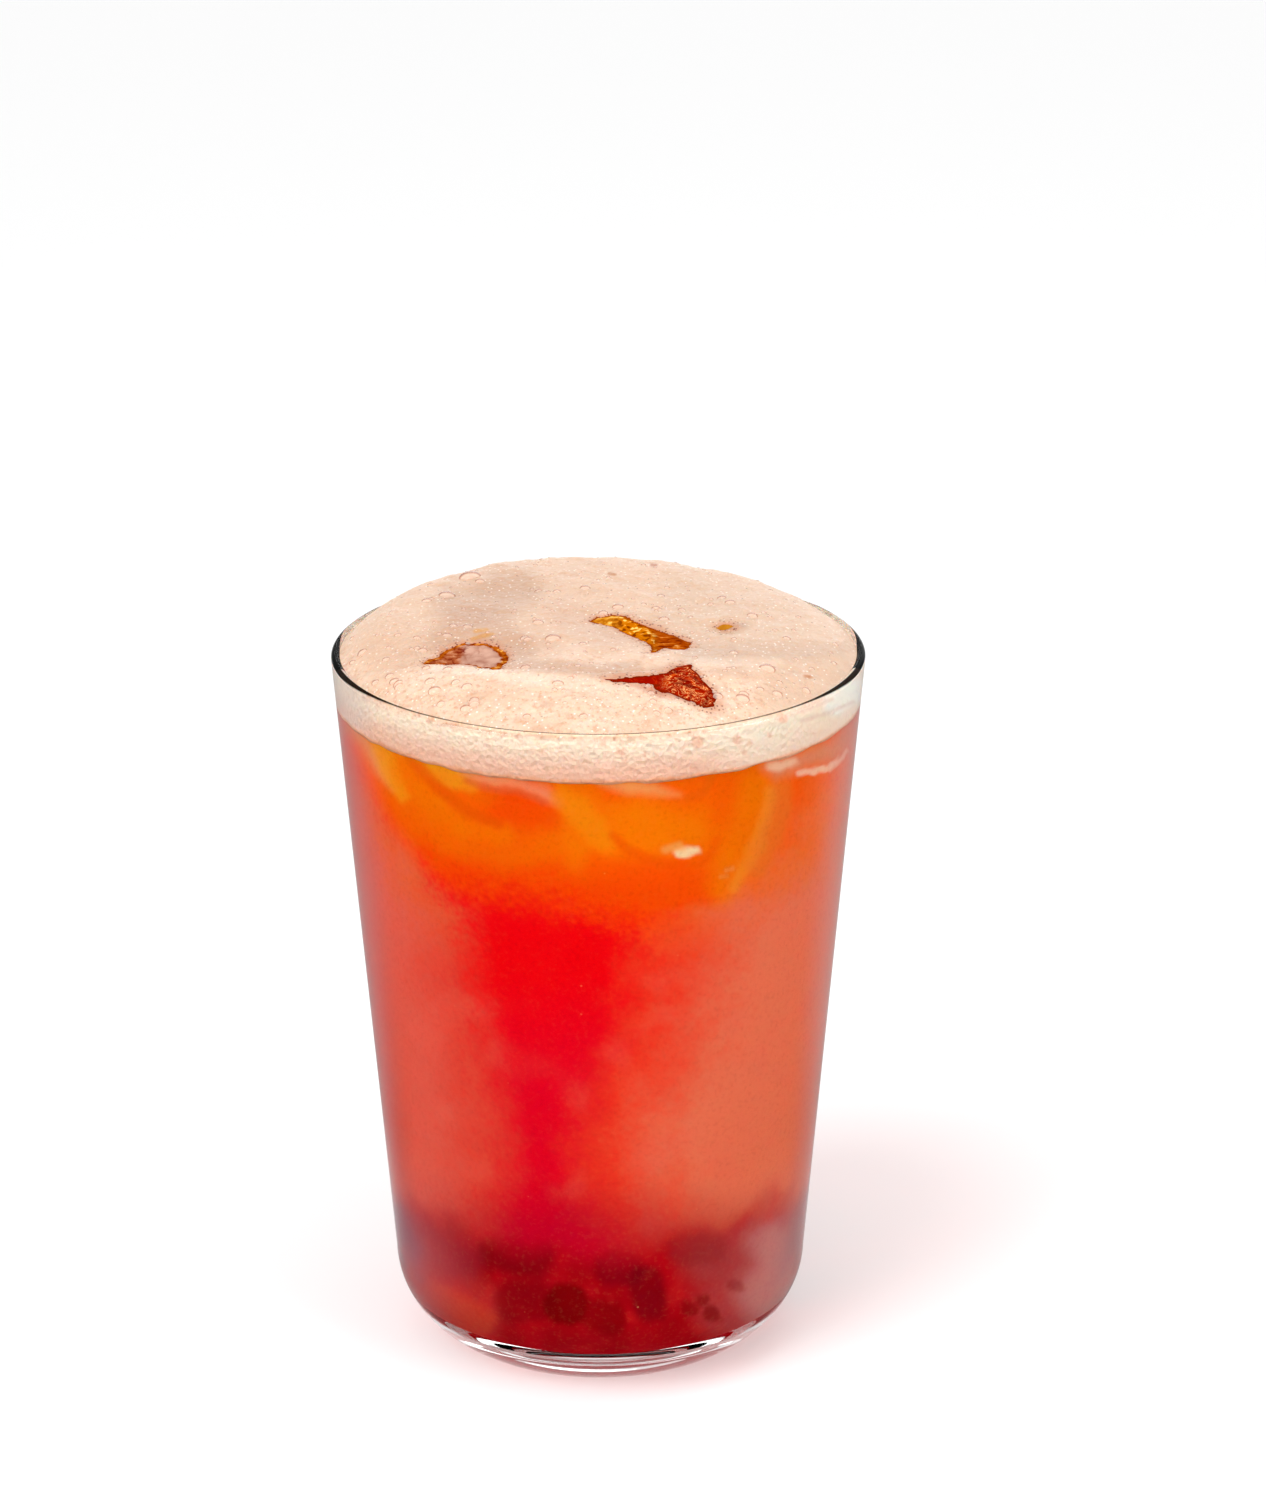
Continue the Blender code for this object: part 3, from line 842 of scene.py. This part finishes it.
def bubble_material():
    g = Graph("bubble_film")
    facing = g.add("LayerWeight", {"Blend": 0.45}, "Facing")
    # The film painted pale in the middle and darker at its edge, a painted shade for the bubble's outline
    film = g.ramp(facing, (0.30, (252, 232, 214)), (0.62, (160, 96, 64)))
    g.set(Base_Color=film, Roughness=0.16, Specular_IOR_Level=0.6)
    share = g.smooth(0.10, 0.85, facing, 0.30, 0.85)
    both = g.blend(share, g.clear((1.0, 0.97, 0.94)), g.shader.outputs[0])
    return g.lit_through((0.84, 0.72, 0.64), both)


def make_glass():
    verts, faces = turned(glass_profile(), circle(GLASS_TURNS))
    glass = add_object("tumbler", verts.tolist(), faces, glass_material())
    glass.data.materials.append(lip_material())
    for polygon in glass.data.polygons:
        if polygon.center.z > HEIGHT - LIP_DEPTH:
            polygon.material_index = 1
    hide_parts("glass")


def along_line(points, places):
    """The second value of a line of points, at each place along the first."""
    return np.interp(places, *zip(*points))


def tea_paint(verts, berries):
    """The colours seen through the wall: orange under the foam, a red core, painted coral haze of side
    light, dark berries.
    """
    columns, rows = photo_places(seen_on_wall(verts), mirrored=True)
    broad = wave(verts, 0.016, 3.0)
    middle = wave(verts, 0.005, 7.0)
    small = wave(verts, 0.0016, 11.0)
    px = columns + 7 * broad + 4 * middle + 2 * small
    py = rows + 6 * broad + 5 * middle + 2 * small
    grit = 10 * small + 14 * wave(verts, 0.0007, 13.0)
    height = verts[:, 2]
    reach = np.abs(verts[:, 0]) / out_from_axis(verts)
    on_left = verts[:, 0] < 0

    # The core is more crimson lower down, and the painted haze of side light beside it more orange higher up
    edge_left = along_line(CORE_LEFT, py) - px
    edge_right = px - along_line(CORE_RIGHT, py)
    cloud = grit + 16 * broad + 14 * middle
    left = edge_left + cloud
    right = edge_right + cloud
    upper = step(*LESS_ORANGE_ROWS, rows)
    # Patches where the painted haze of side light glows paler
    hazy_glow = step(0.10, 0.55, wave(verts, 0.0075, 41.0) + 0.4 * middle) * step(*HAZY_GLOW_ROWS, rows)
    beside = np.maximum(step(-20, 20, left), step(-20, 20, right)) * 0.16 + 0.06
    paint = Paint(len(verts), (242, 0, 12), 1.0)
    paint.lay(step(*CRIMSON_ROWS, rows), (232, 0, 34))
    # Painted haze of side light, coral at the left and at the right of the core
    paint.lay(step(-24, 36, left), (232, 66, 50))
    paint.lay(step(-10, 30, left) * upper, (236, 98, 52))
    paint.lay(step(15, 90, left), (234, 96, 78))
    paint.lay(step(15, 90, left) * upper, (232, 108, 90), 0.7)
    paint.lay(step(-24, 60, right), (240, 60, 34))
    paint.lay(step(-10, 40, right) * upper, (246, 112, 44))
    paint.lay(step(30, 150, right), (240, 120, 86))
    paint.lay(hazy_glow * beside, (244, 104, 84))

    # Orange under the foam, deeper in the middle
    over = along_line(ORANGE_END, columns) - rows + 6 * middle + grit
    orange = step(-26, 22, over) * step(30, -4, edge_left) * step(58, 4, edge_right)
    paint.lay(orange, (255, 70, 0))
    paint.lay(orange * step(8, 66, over), (255, 100, 0))
    paint.mark(px, py, ORANGE_MARKS, orange)
    # The sunk lumps, with painted highlights and glints on them
    paint.mark(columns + 2 * middle + 1.5 * small, rows + 2 * middle + 1.5 * small, LUMP_AND_GLINT_MARKS)

    # The berries, under tea that darkens towards them
    heap = step(-18, 26, rows - along_line(HEAP_TOP, columns) + 10 * broad + 10 * middle + 3 * small)
    low_down = step(0.0285, 0.0235, height + 0.002 * middle + 0.001 * small)
    heap = np.maximum(heap, low_down * step(0.90, 0.99, reach))
    gaps = [np.linalg.norm(verts - np.array(centre), axis=1) - radius for centre, radius in berries]
    off = np.min(gaps, axis=0)
    berry = step(0.0042, 0.0008, off + 0.0014 * middle + 0.0005 * small)
    seams = step(0.26, 0.60, wave(verts, 0.0034, 23.0) + 0.3 * middle)
    paint.lay(step(*DARKER_ROWS, rows + 14 * broad + 8 * middle), (172, 0, 42), 0.5)
    paint.lay(heap, (188, 4, 20))
    paint.lay(heap * berry, (158, 0, 12), 0.7)
    paint.lay(heap * seams, (206, 30, 30), 0.4)
    paint.mark(columns + 3 * middle + 2 * small, rows + 3 * middle + 2 * small, HEAP_MARKS, heap)

    # The far left and right, where the wall turns away, are painted duller as shade
    turned_away = step(0.82, 1.0, reach)
    level = height + 0.0025 * middle + 0.0012 * small
    # A band of painted plum shade above the berries, at the far left and right
    band = step(0.0310, 0.0230, level) * step(0.0110, 0.0190, level)
    paint.lay(turned_away * on_left, (192, 66, 58), 0.8)
    paint.lay(turned_away * ~on_left, (204, 104, 86), 0.75)
    paint.lay(heap * step(0.66, 0.95, reach) * on_left, (184, 58, 64), 0.7)
    paint.lay(band * step(0.80, 0.99, reach + 0.04 * broad + 0.03 * middle), (122, 62, 88), 0.70)
    paint.lay(heap * step(0.78, 0.98, reach) * ~on_left, (178, 116, 112), 0.65)
    return paint


def tea_angles():
    """Angles round the tea, closer together on the side that the photograph shows."""
    ways = np.linspace(-math.pi, math.pi, 2000)
    steps = [0.0052 if -math.pi < way < 0 else 0.0125 for way in ways]
    total = np.cumsum([1.0 / one for one in steps])
    return np.interp(np.arange(TEA_TURNS) * total[-1] / TEA_TURNS, total, ways)


def make_tea(berries):
    verts, faces = turned(tea_profile(), tea_angles())
    tea = add_object("tea_body", verts.tolist(), faces, tea_material())
    tea_paint(verts, berries).store(tea)
    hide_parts("tea")


def foam_spot(column, row):
    """Where the line of sight through a pixel of the photograph meets the foam's top."""
    start, way = camera_ray(column, row)
    far = (FOAM_AT_WALL - 0.002 - start.z) / way.z
    near = (FOAM_AT_WALL + 0.008 - start.z) / way.z
    for _ in range(30):
        middle = (near + far) / 2
        point = start + way * middle
        if point.z > FOAM_AT_WALL + foam_height(point.x, point.y):
            near = middle
        else:
            far = middle
    return point.x, point.y


def at_height(verts, z):
    """The same points, all at one height."""
    return np.column_stack([verts[:, :2], np.full(len(verts), z)])


def into_openings(openings, verts):
    """How far points lie inside the nearest opening, with a ragged edge; negative outside."""
    x, y = verts[:, 0], verts[:, 1]
    inside = np.max([signed_distance(corners, x, y) for corners in openings], axis=0)
    return np.maximum(inside, -OPENING_REACH) + 0.00035 * wave(at_height(verts, 0.01), 0.0009)


def foam_paint(verts, on_wall):
    """Painted shade and highlights, and stains, on the foam's top and wall."""
    columns, rows = photo_places(verts)
    wall_columns, wall_rows = photo_places(seen_on_wall(verts))
    behind_glass = on_wall * step(0.0, 0.2, -verts[:, 1] / out_from_axis(verts))
    small = wave(verts, 0.0016, 31.0)
    paint = Paint(len(verts), (206, 166, 140), 0.0)
    # Painted shadows, shade and highlights, and amber stains, on the foam's top
    paint.mark(columns + 1.5 * small, rows + 0.8 * small, FOAM_SHADE_GLINT_AND_STAIN_MARKS, ~on_wall)
    # Painted shade at the foam wall's left end, painted light and a highlight at its right end
    paint.mark(wall_columns, wall_rows, FOAM_WALL_SHADE_AND_LIGHT_MARKS, behind_glass)
    for column, row, size in WALL_BUBBLES:
        away = np.hypot(wall_columns - column, wall_rows - row)
        paint.lay(step(size + 1.2, size - 0.8, away) * behind_glass, (240, 186, 156), 0.7)
    above = verts[:, 2] - (TEA_LEVEL + 0.0002 + 0.0003 * small)
    paint.lay(on_wall * step(0.0005, 0.0, above), (246, 160, 112), 0.7)
    return paint


def make_foam(openings):
    edge = inner_radius(FOAM_AT_WALL) + INTO_WALL
    low = TEA_LEVEL - 0.0002
    profile = [(edge * i / FOAM_RINGS, FOAM_AT_WALL) for i in range(FOAM_RINGS + 1)]
    profile += [(inner_radius(z) + INTO_WALL + 0.00003, z) for z in np.linspace(FOAM_AT_WALL, low, 20)[1:]]
    verts, faces = turned(profile + [(0.0, low)], circle(FOAM_TURNS))
    on_wall = np.arange(len(verts)) > FOAM_RINGS * FOAM_TURNS
    top = verts[~on_wall]
    into = np.full(len(verts), -OPENING_REACH)
    into[~on_wall] = into_openings(openings, top)

    # The top's shape, small lumps that the CAD solid leaves out, and the dips at the openings
    flat = at_height(top, 0.0)
    relief = 0.00022 * wave(flat, 0.0032) + 0.00010 * wave(flat, 0.0013)
    fade = step(0.0, 0.0015, edge - np.hypot(top[:, 0], top[:, 1]))
    dip = OPENING_DEPTH * step(-OPENING_EDGE, OPENING_EDGE, into[~on_wall])
    verts[~on_wall, 2] += np.array([foam_height(x, y) for x, y, _ in top]) + fade * relief - dip
    rim = slice(-1 - FOAM_TURNS, -1)
    verts[rim, 2] += 0.0004 * wave(at_height(verts[rim], 0.0), 0.004)

    foam = add_object("foam_head", verts.tolist(), faces, foam_material())
    # How deep each point lies in a hollow, for the painted shade there
    hollow = sum(felt * min(depth / 0.0013, 1.0) for felt, depth in hollows_at(verts[:, 0], verts[:, 1]))
    number_layer(foam, "into_opening", into * 1000)
    number_layer(foam, "hollow", np.minimum(hollow, 1.0))
    foam_paint(verts, on_wall).store(foam)
    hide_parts("foam")
    return foam


def ice_cap(number, corners):
    """The wet face of a lump inside its opening: a rippled slab just under the foam's level."""
    start = np.min(corners, axis=0) - OPENING_REACH
    end = np.max(corners, axis=0) + OPENING_REACH
    grid = np.indices([int(size / CAP_PACE) + 1 for size in end - start])
    xs, ys = start[:, None, None] + grid * CAP_PACE
    inside = signed_distance(corners, xs, ys)
    slots = {(i, j): place for place, (i, j) in enumerate(np.argwhere(inside > -0.0007).tolist())}
    depths = [float(inside[slot]) for slot in slots]
    points = []
    for slot, depth in zip(slots, depths):
        x, y = xs[slot], ys[slot]
        ripple = 0.00030 * rough(x, y, number * 0.01, 0.0019) + 0.00018 * rough(x, y, number * 0.01, 0.0009)
        deep = 0.00014 - 0.00024 * step(-0.0002, 0.0018, depth)
        height = FOAM_AT_WALL + foam_height(x, y) - deep + ripple * step(0.0, 0.0012, depth)
        points.append(Vector((x, y, height)))
    count = len(points)
    points += [Vector((spot.x, spot.y, spot.z - 0.0012)) for spot in points]
    faces = []
    for i, j in slots:
        ring = [(i, j), (i + 1, j), (i + 1, j + 1), (i, j + 1)]
        if all(corner in slots for corner in ring):
            quad = [slots[corner] for corner in ring]
            faces += [tuple(quad), tuple(index + count for index in reversed(quad))]
    edges = {(a, b) for face in faces for a, b in zip(face, face[1:] + face[:1])}
    rim = [(a, b) for a, b in edges if a < count and b < count and (b, a) not in edges]
    faces += [(b, a, a + count, b + count) for a, b in rim]
    used = sorted({index for face in faces for index in face})
    fresh = {index: place for place, index in enumerate(used)}
    kept = [points[index] for index in used]
    return kept, [tuple(fresh[i] for i in face) for face in faces], [depths[i % count] for i in used]


def make_ice(openings):
    """Each lump that breaks through the foam, finer than the CAD's and wet on top."""
    colours = (left_lump, middle_lump, right_lump, small_lump)
    for number, (ice, corners, colour_of) in enumerate(zip(ICE, openings, colours), start=1):
        spots, sides = block(*ice, number, 30, 0.00012, 0.0022)
        for spot in spots:
            spot.z = min(spot.z, FOAM_AT_WALL + foam_height(spot.x, spot.y) - 0.0012)
        cap, cap_sides, depths = ice_cap(number, corners)
        points, faces = joined([(spots, sides), (cap, cap_sides)])
        lump = add_object(f"wet_ice_{number}", points, faces, wet_ice_material(number, colour_of))
        number_layer(lump, "into_opening", [-3.0] * len(spots) + [depth * 1000 for depth in depths])
        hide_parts(f"ice_{number}")


def kept_inside(spot):
    """Moves a point in from the wall, if it would touch it."""
    share = min((inner_radius(spot.z) - 0.0006) / math.hypot(spot.x, spot.y), 1.0)
    return Vector((spot.x * share, spot.y * share, spot.z))


def make_sunk_ice():
    pieces = []
    for seed, ice in enumerate(SUNK_ICE, start=11):
        spots, sides = block(*ice, seed, 20, 0.0002, 0.004)
        pieces.append(([kept_inside(spot) for spot in spots], sides))
    sunk = add_object("sunk_ice", *joined(pieces), sunk_ice_material())


def wall_spot(column, row, inset):
    """A point a little way in from the wall, where the line of sight through a pixel meets it."""
    start, way = camera_ray(column, row)
    for away in np.arange(6000) * 0.00004 + 0.50:
        point = start + way * float(away)
        if point.z < CORNER_HEIGHT:
            fall = min((CORNER_HEIGHT - point.z) / CORNER_HEIGHT, 1.0)
            room = FOOT_RADIUS + (outer_radius(CORNER_HEIGHT) - FOOT_RADIUS) * math.sqrt(1.0 - fall * fall)
        else:
            room = outer_radius(point.z)
        if math.hypot(point.x, point.y) < room - inset:
            break
    return point


def room_inside(z):
    """The radius of the glass's inside at a height, its rounded corner included."""
    fall = min(max((INNER_CORNER_TOP - z) / INNER_CORNER_HEIGHT, 0.0), 1.0)
    bend = inner_radius(INNER_CORNER_TOP) - INNER_FLOOR_RADIUS
    return min(inner_radius(z), INNER_FLOOR_RADIUS + bend * math.sqrt(1.0 - fall * fall))


def clear_of_glass(centre, radius):
    """A berry's centre, moved up off the floor and in from the corner, and its radius."""
    z = max(centre.z, FLOOR + radius * 1.1 + 0.0012)
    room = room_inside(z - radius * 0.6) - radius * 1.1 - 0.0008
    share = min(room / math.hypot(centre.x, centre.y), 1.0)
    return Vector((centre.x * share, centre.y * share, z)), radius


def place_berries():
    """Each berry's centre and radius: those seen through the front, and others behind them."""
    berries = []
    for column, row, size in SEEN_BERRIES:
        radius = size / 1000
        berries.append(clear_of_glass(wall_spot(column, row, WALL + 0.001 + radius), radius))
    rng = random.Random(7)
    for _ in range(HIDDEN_BERRIES):
        radius = rng.uniform(0.0035, 0.0052)
        z = rng.uniform(0.0120, 0.031)
        angle = rng.uniform(-0.25, math.pi + 0.25)
        out = inner_radius(z) * math.sqrt(rng.uniform(0.10, 0.95))
        berries.append(clear_of_glass(Vector((out * math.cos(angle), out * math.sin(angle), z)), radius))
    return berries


def ball(radii, seed):
    """A lumpy ball, as a berry."""
    bm = bmesh.new()
    bmesh.ops.create_icosphere(bm, subdivisions=3, radius=1.0)
    points = []
    for vert in bm.verts:
        way = vert.co.normalized()
        swell = 1.0 + 0.16 * noise.noise(way / 0.7 + Vector((seed * 5.7, 0.0, 0.0)))
        points.append(Vector(c * r * swell for c, r in zip(way, radii)))
    return points, faces_of(bm)


def make_berries(berries):
    rng = random.Random(8)
    pieces = []
    for seed, (centre, radius) in enumerate(berries):
        radii = [radius * rng.uniform(0.85, 1.0) for _ in range(3)]
        spin = Euler([rng.uniform(0, 6.28) for _ in range(3)]).to_matrix()
        spots, sides = ball(radii, seed)
        pieces.append(([spin @ spot + centre for spot in spots], sides))
    heap = add_object("berry_heap", *joined(pieces), berry_material())


def dome(centre, normal, radius, rings, turns):
    """A flattened bubble's cap on a surface, with its edge just under it."""
    ways = [math.radians(100.0) * ring / rings for ring in range(rings + 1)]
    profile = [(math.sin(way), math.cos(way) - BUBBLE_SINK) for way in ways]
    verts, faces = turned(profile + [(0.0, 0.0)], circle(turns))
    scale = Matrix.Diagonal((radius, radius, radius * BUBBLE_FLATNESS))
    shape = normal.to_track_quat("Z", "Y").to_matrix() @ scale
    return [centre + shape @ Vector(spot) for spot in verts[:-1]], faces[:-turns]


def make_bubbles(foam):
    tree = BVHTree.FromPolygons([v.co for v in foam.data.vertices], [p.vertices for p in foam.data.polygons])
    pieces = []
    for column, row, radius in BUBBLES:
        spot, normal, _, _ = tree.ray_cast(*camera_ray(column, row))
        if spot is not None:
            lean = (normal + Vector((0.0, 0.0, 1.5))).normalized()
            pieces.append(dome(spot, lean, radius / 1000, 10, 24))
    rng = random.Random(5)
    for left, top, right, bottom, number in BUBBLE_FIELDS:
        for _ in range(number):
            sight = camera_ray(rng.uniform(left, right), rng.uniform(top, bottom))
            spot, normal, _, _ = tree.ray_cast(*sight)
            if spot is not None and spot.z > FOAM_AT_WALL + 0.0006:
                pieces.append(dome(spot, normal, 0.00040 + 0.0006 * rng.random() ** 2, 8, 20))
    rng = random.Random(3)
    for _ in range(SMALL_BUBBLES):
        angle = rng.uniform(0, 2 * math.pi)
        out = SMALL_BUBBLES_REACH * math.sqrt(rng.random())
        start = Vector((out * math.cos(angle), out * math.sin(angle), 0.14))
        spot, normal, _, _ = tree.ray_cast(start, Vector((0.0, 0.0, -1.0)))
        pieces.append(dome(spot, normal, 0.00018 + 0.0004 * rng.random() ** 3, 4, 10))
    bubbles = add_object("foam_bubbles", *joined(pieces), bubble_material())


def lamp(name, kind, place, target, power, **settings):
    """A lamp that shines from its place towards its target."""
    data = bpy.data.lights.new(name, kind)
    data.energy = power
    for key, value in settings.items():
        setattr(data, key, value)
    light = bpy.data.objects.new(name, data)
    light.location = place
    light.rotation_mode = "QUATERNION"
    light.rotation_quaternion = (Vector(target) - Vector(place)).to_track_quat("-Z", "Y")
    bpy.context.scene.collection.objects.link(light)


def stage_sheet(graph, name, reach, z, *unseen_by):
    """A flat sheet of the stage, and the kinds of ray that pass it by."""
    mesh = bpy.data.meshes.new(name)
    mesh.from_pydata([(-reach, -reach, z), (reach, -reach, z), (reach, reach, z), (-reach, reach, z)], [],
                     [(0, 1, 2, 3)])
    mesh.materials.append(graph.material)
    sheet = bpy.data.objects.new(name, mesh)
    for kind in unseen_by:
        setattr(sheet, "visible_" + kind, False)
    bpy.context.scene.collection.objects.link(sheet)


def make_studio():
    g = Graph("pale_floor")
    g.set(Base_Color=(0.93, 0.93, 0.93), Roughness=0.9, Specular_IOR_Level=0.1)
    stage_sheet(g, "studio_floor", 6.0, 0.0, "transmission")
    world = bpy.data.worlds.new("studio")
    world.use_nodes = True
    world.node_tree.nodes["Background"].inputs[0].default_value = (1.0, 1.0, 1.0, 1.0)
    world.node_tree.nodes["Background"].inputs[1].default_value = 0.75
    bpy.context.scene.world = world
    foot, middle = (0.0, 0.0, 0.0), (0.0, 0.0, 0.09)
    box = {"shape": "RECTANGLE", "size": 0.40, "size_y": 0.50}
    lamp("top_light", "SUN", foot, (0.30, 0.30, -0.8), 0.85, angle=math.radians(25.0))
    lamp("back_light", "SUN", foot, (-0.10, -0.90, -0.20), 0.50, angle=math.radians(40.0), use_shadow=False)
    lamp("left_box", "AREA", (-0.50, -0.40, 0.40), middle, 2.2, **box)
    lamp("right_box", "AREA", (0.55, -0.35, 0.35), middle, 2.6, **box)
    make_card()
    make_light_table()


def make_card():
    """A dark card laid round the glass. Only reflections in the glass show it."""
    g = Graph("dark_card")
    x, y = g.axes(g.place())[:2]
    away = from_middle(g, x, y)
    aside = g.math("ABSOLUTE", g.math("ARCTAN2", x, g.times(y, -1.0)))
    cover = g.times(g.smooth(0.50, 0.35, away), g.smooth(1.7, 2.3, aside, 1.0, 0.6))
    beside = g.times(g.smooth(0.8, 1.6, aside, 0.0, 0.45), g.smooth(0.110, 0.050, away))
    cover = g.times(g.times(cover, g.minus(1.0, beside)), g.smooth(0.033, 0.036, away))
    g.set(Base_Color=(0.0, 0.0, 0.0), Roughness=1.0, Specular_IOR_Level=0.0, Alpha=cover)
    stage_sheet(g, "dark_card", 0.5, 0.001, "camera", "diffuse", "transmission", "shadow")


def make_light_table():
    """An evenly lit sheet just under the floor. Only light that has come through glass meets it."""
    g = Graph("light_table")
    g.set(Base_Color=(0.0, 0.0, 0.0), Roughness=1.0, Specular_IOR_Level=0.0, Emission_Color=(1.0, 1.0, 1.0),
          Emission_Strength=1.10)
    stage_sheet(g, "light_table", 1.0, -0.001, "camera", "diffuse", "glossy", "shadow")


def make_camera():
    start, ahead = camera_ray(PHOTO_WIDTH / 2, PHOTO_HEIGHT / 2)
    data = bpy.data.cameras.new("photo_camera")
    data.sensor_width = SENSOR
    data.lens = FOCAL_PIXELS * SENSOR / PHOTO_HEIGHT
    data.clip_start, data.clip_end = 0.01, 50.0
    camera = bpy.data.objects.new("photo_camera", data)
    camera.location = start
    camera.rotation_mode = "QUATERNION"
    camera.rotation_quaternion = ahead.to_track_quat("-Z", "Y")
    bpy.context.scene.collection.objects.link(camera)
    bpy.context.scene.camera = camera


def make_picture_settings():
    scene = bpy.context.scene
    scene.view_settings.view_transform = "Standard"
    scene.view_settings.look = "None"
    cycles = scene.cycles
    cycles.use_denoising = True
    cycles.max_bounces = 14
    cycles.transmission_bounces = 14
    cycles.transparent_max_bounces = 16
    cycles.glossy_bounces = 6
    cycles.diffuse_bounces = 4
    cycles.caustics_reflective = False
    cycles.caustics_refractive = True
    cycles.sample_clamp_indirect = 4.0


make_camera()
make_studio()
make_picture_settings()
make_glass()
berries = place_berries()
make_tea(berries)
make_berries(berries)
make_sunk_ice()
openings = [[foam_spot(*pixel) for pixel in pixels] for pixels in OPENINGS]
make_ice(openings)
make_bubbles(make_foam(openings))
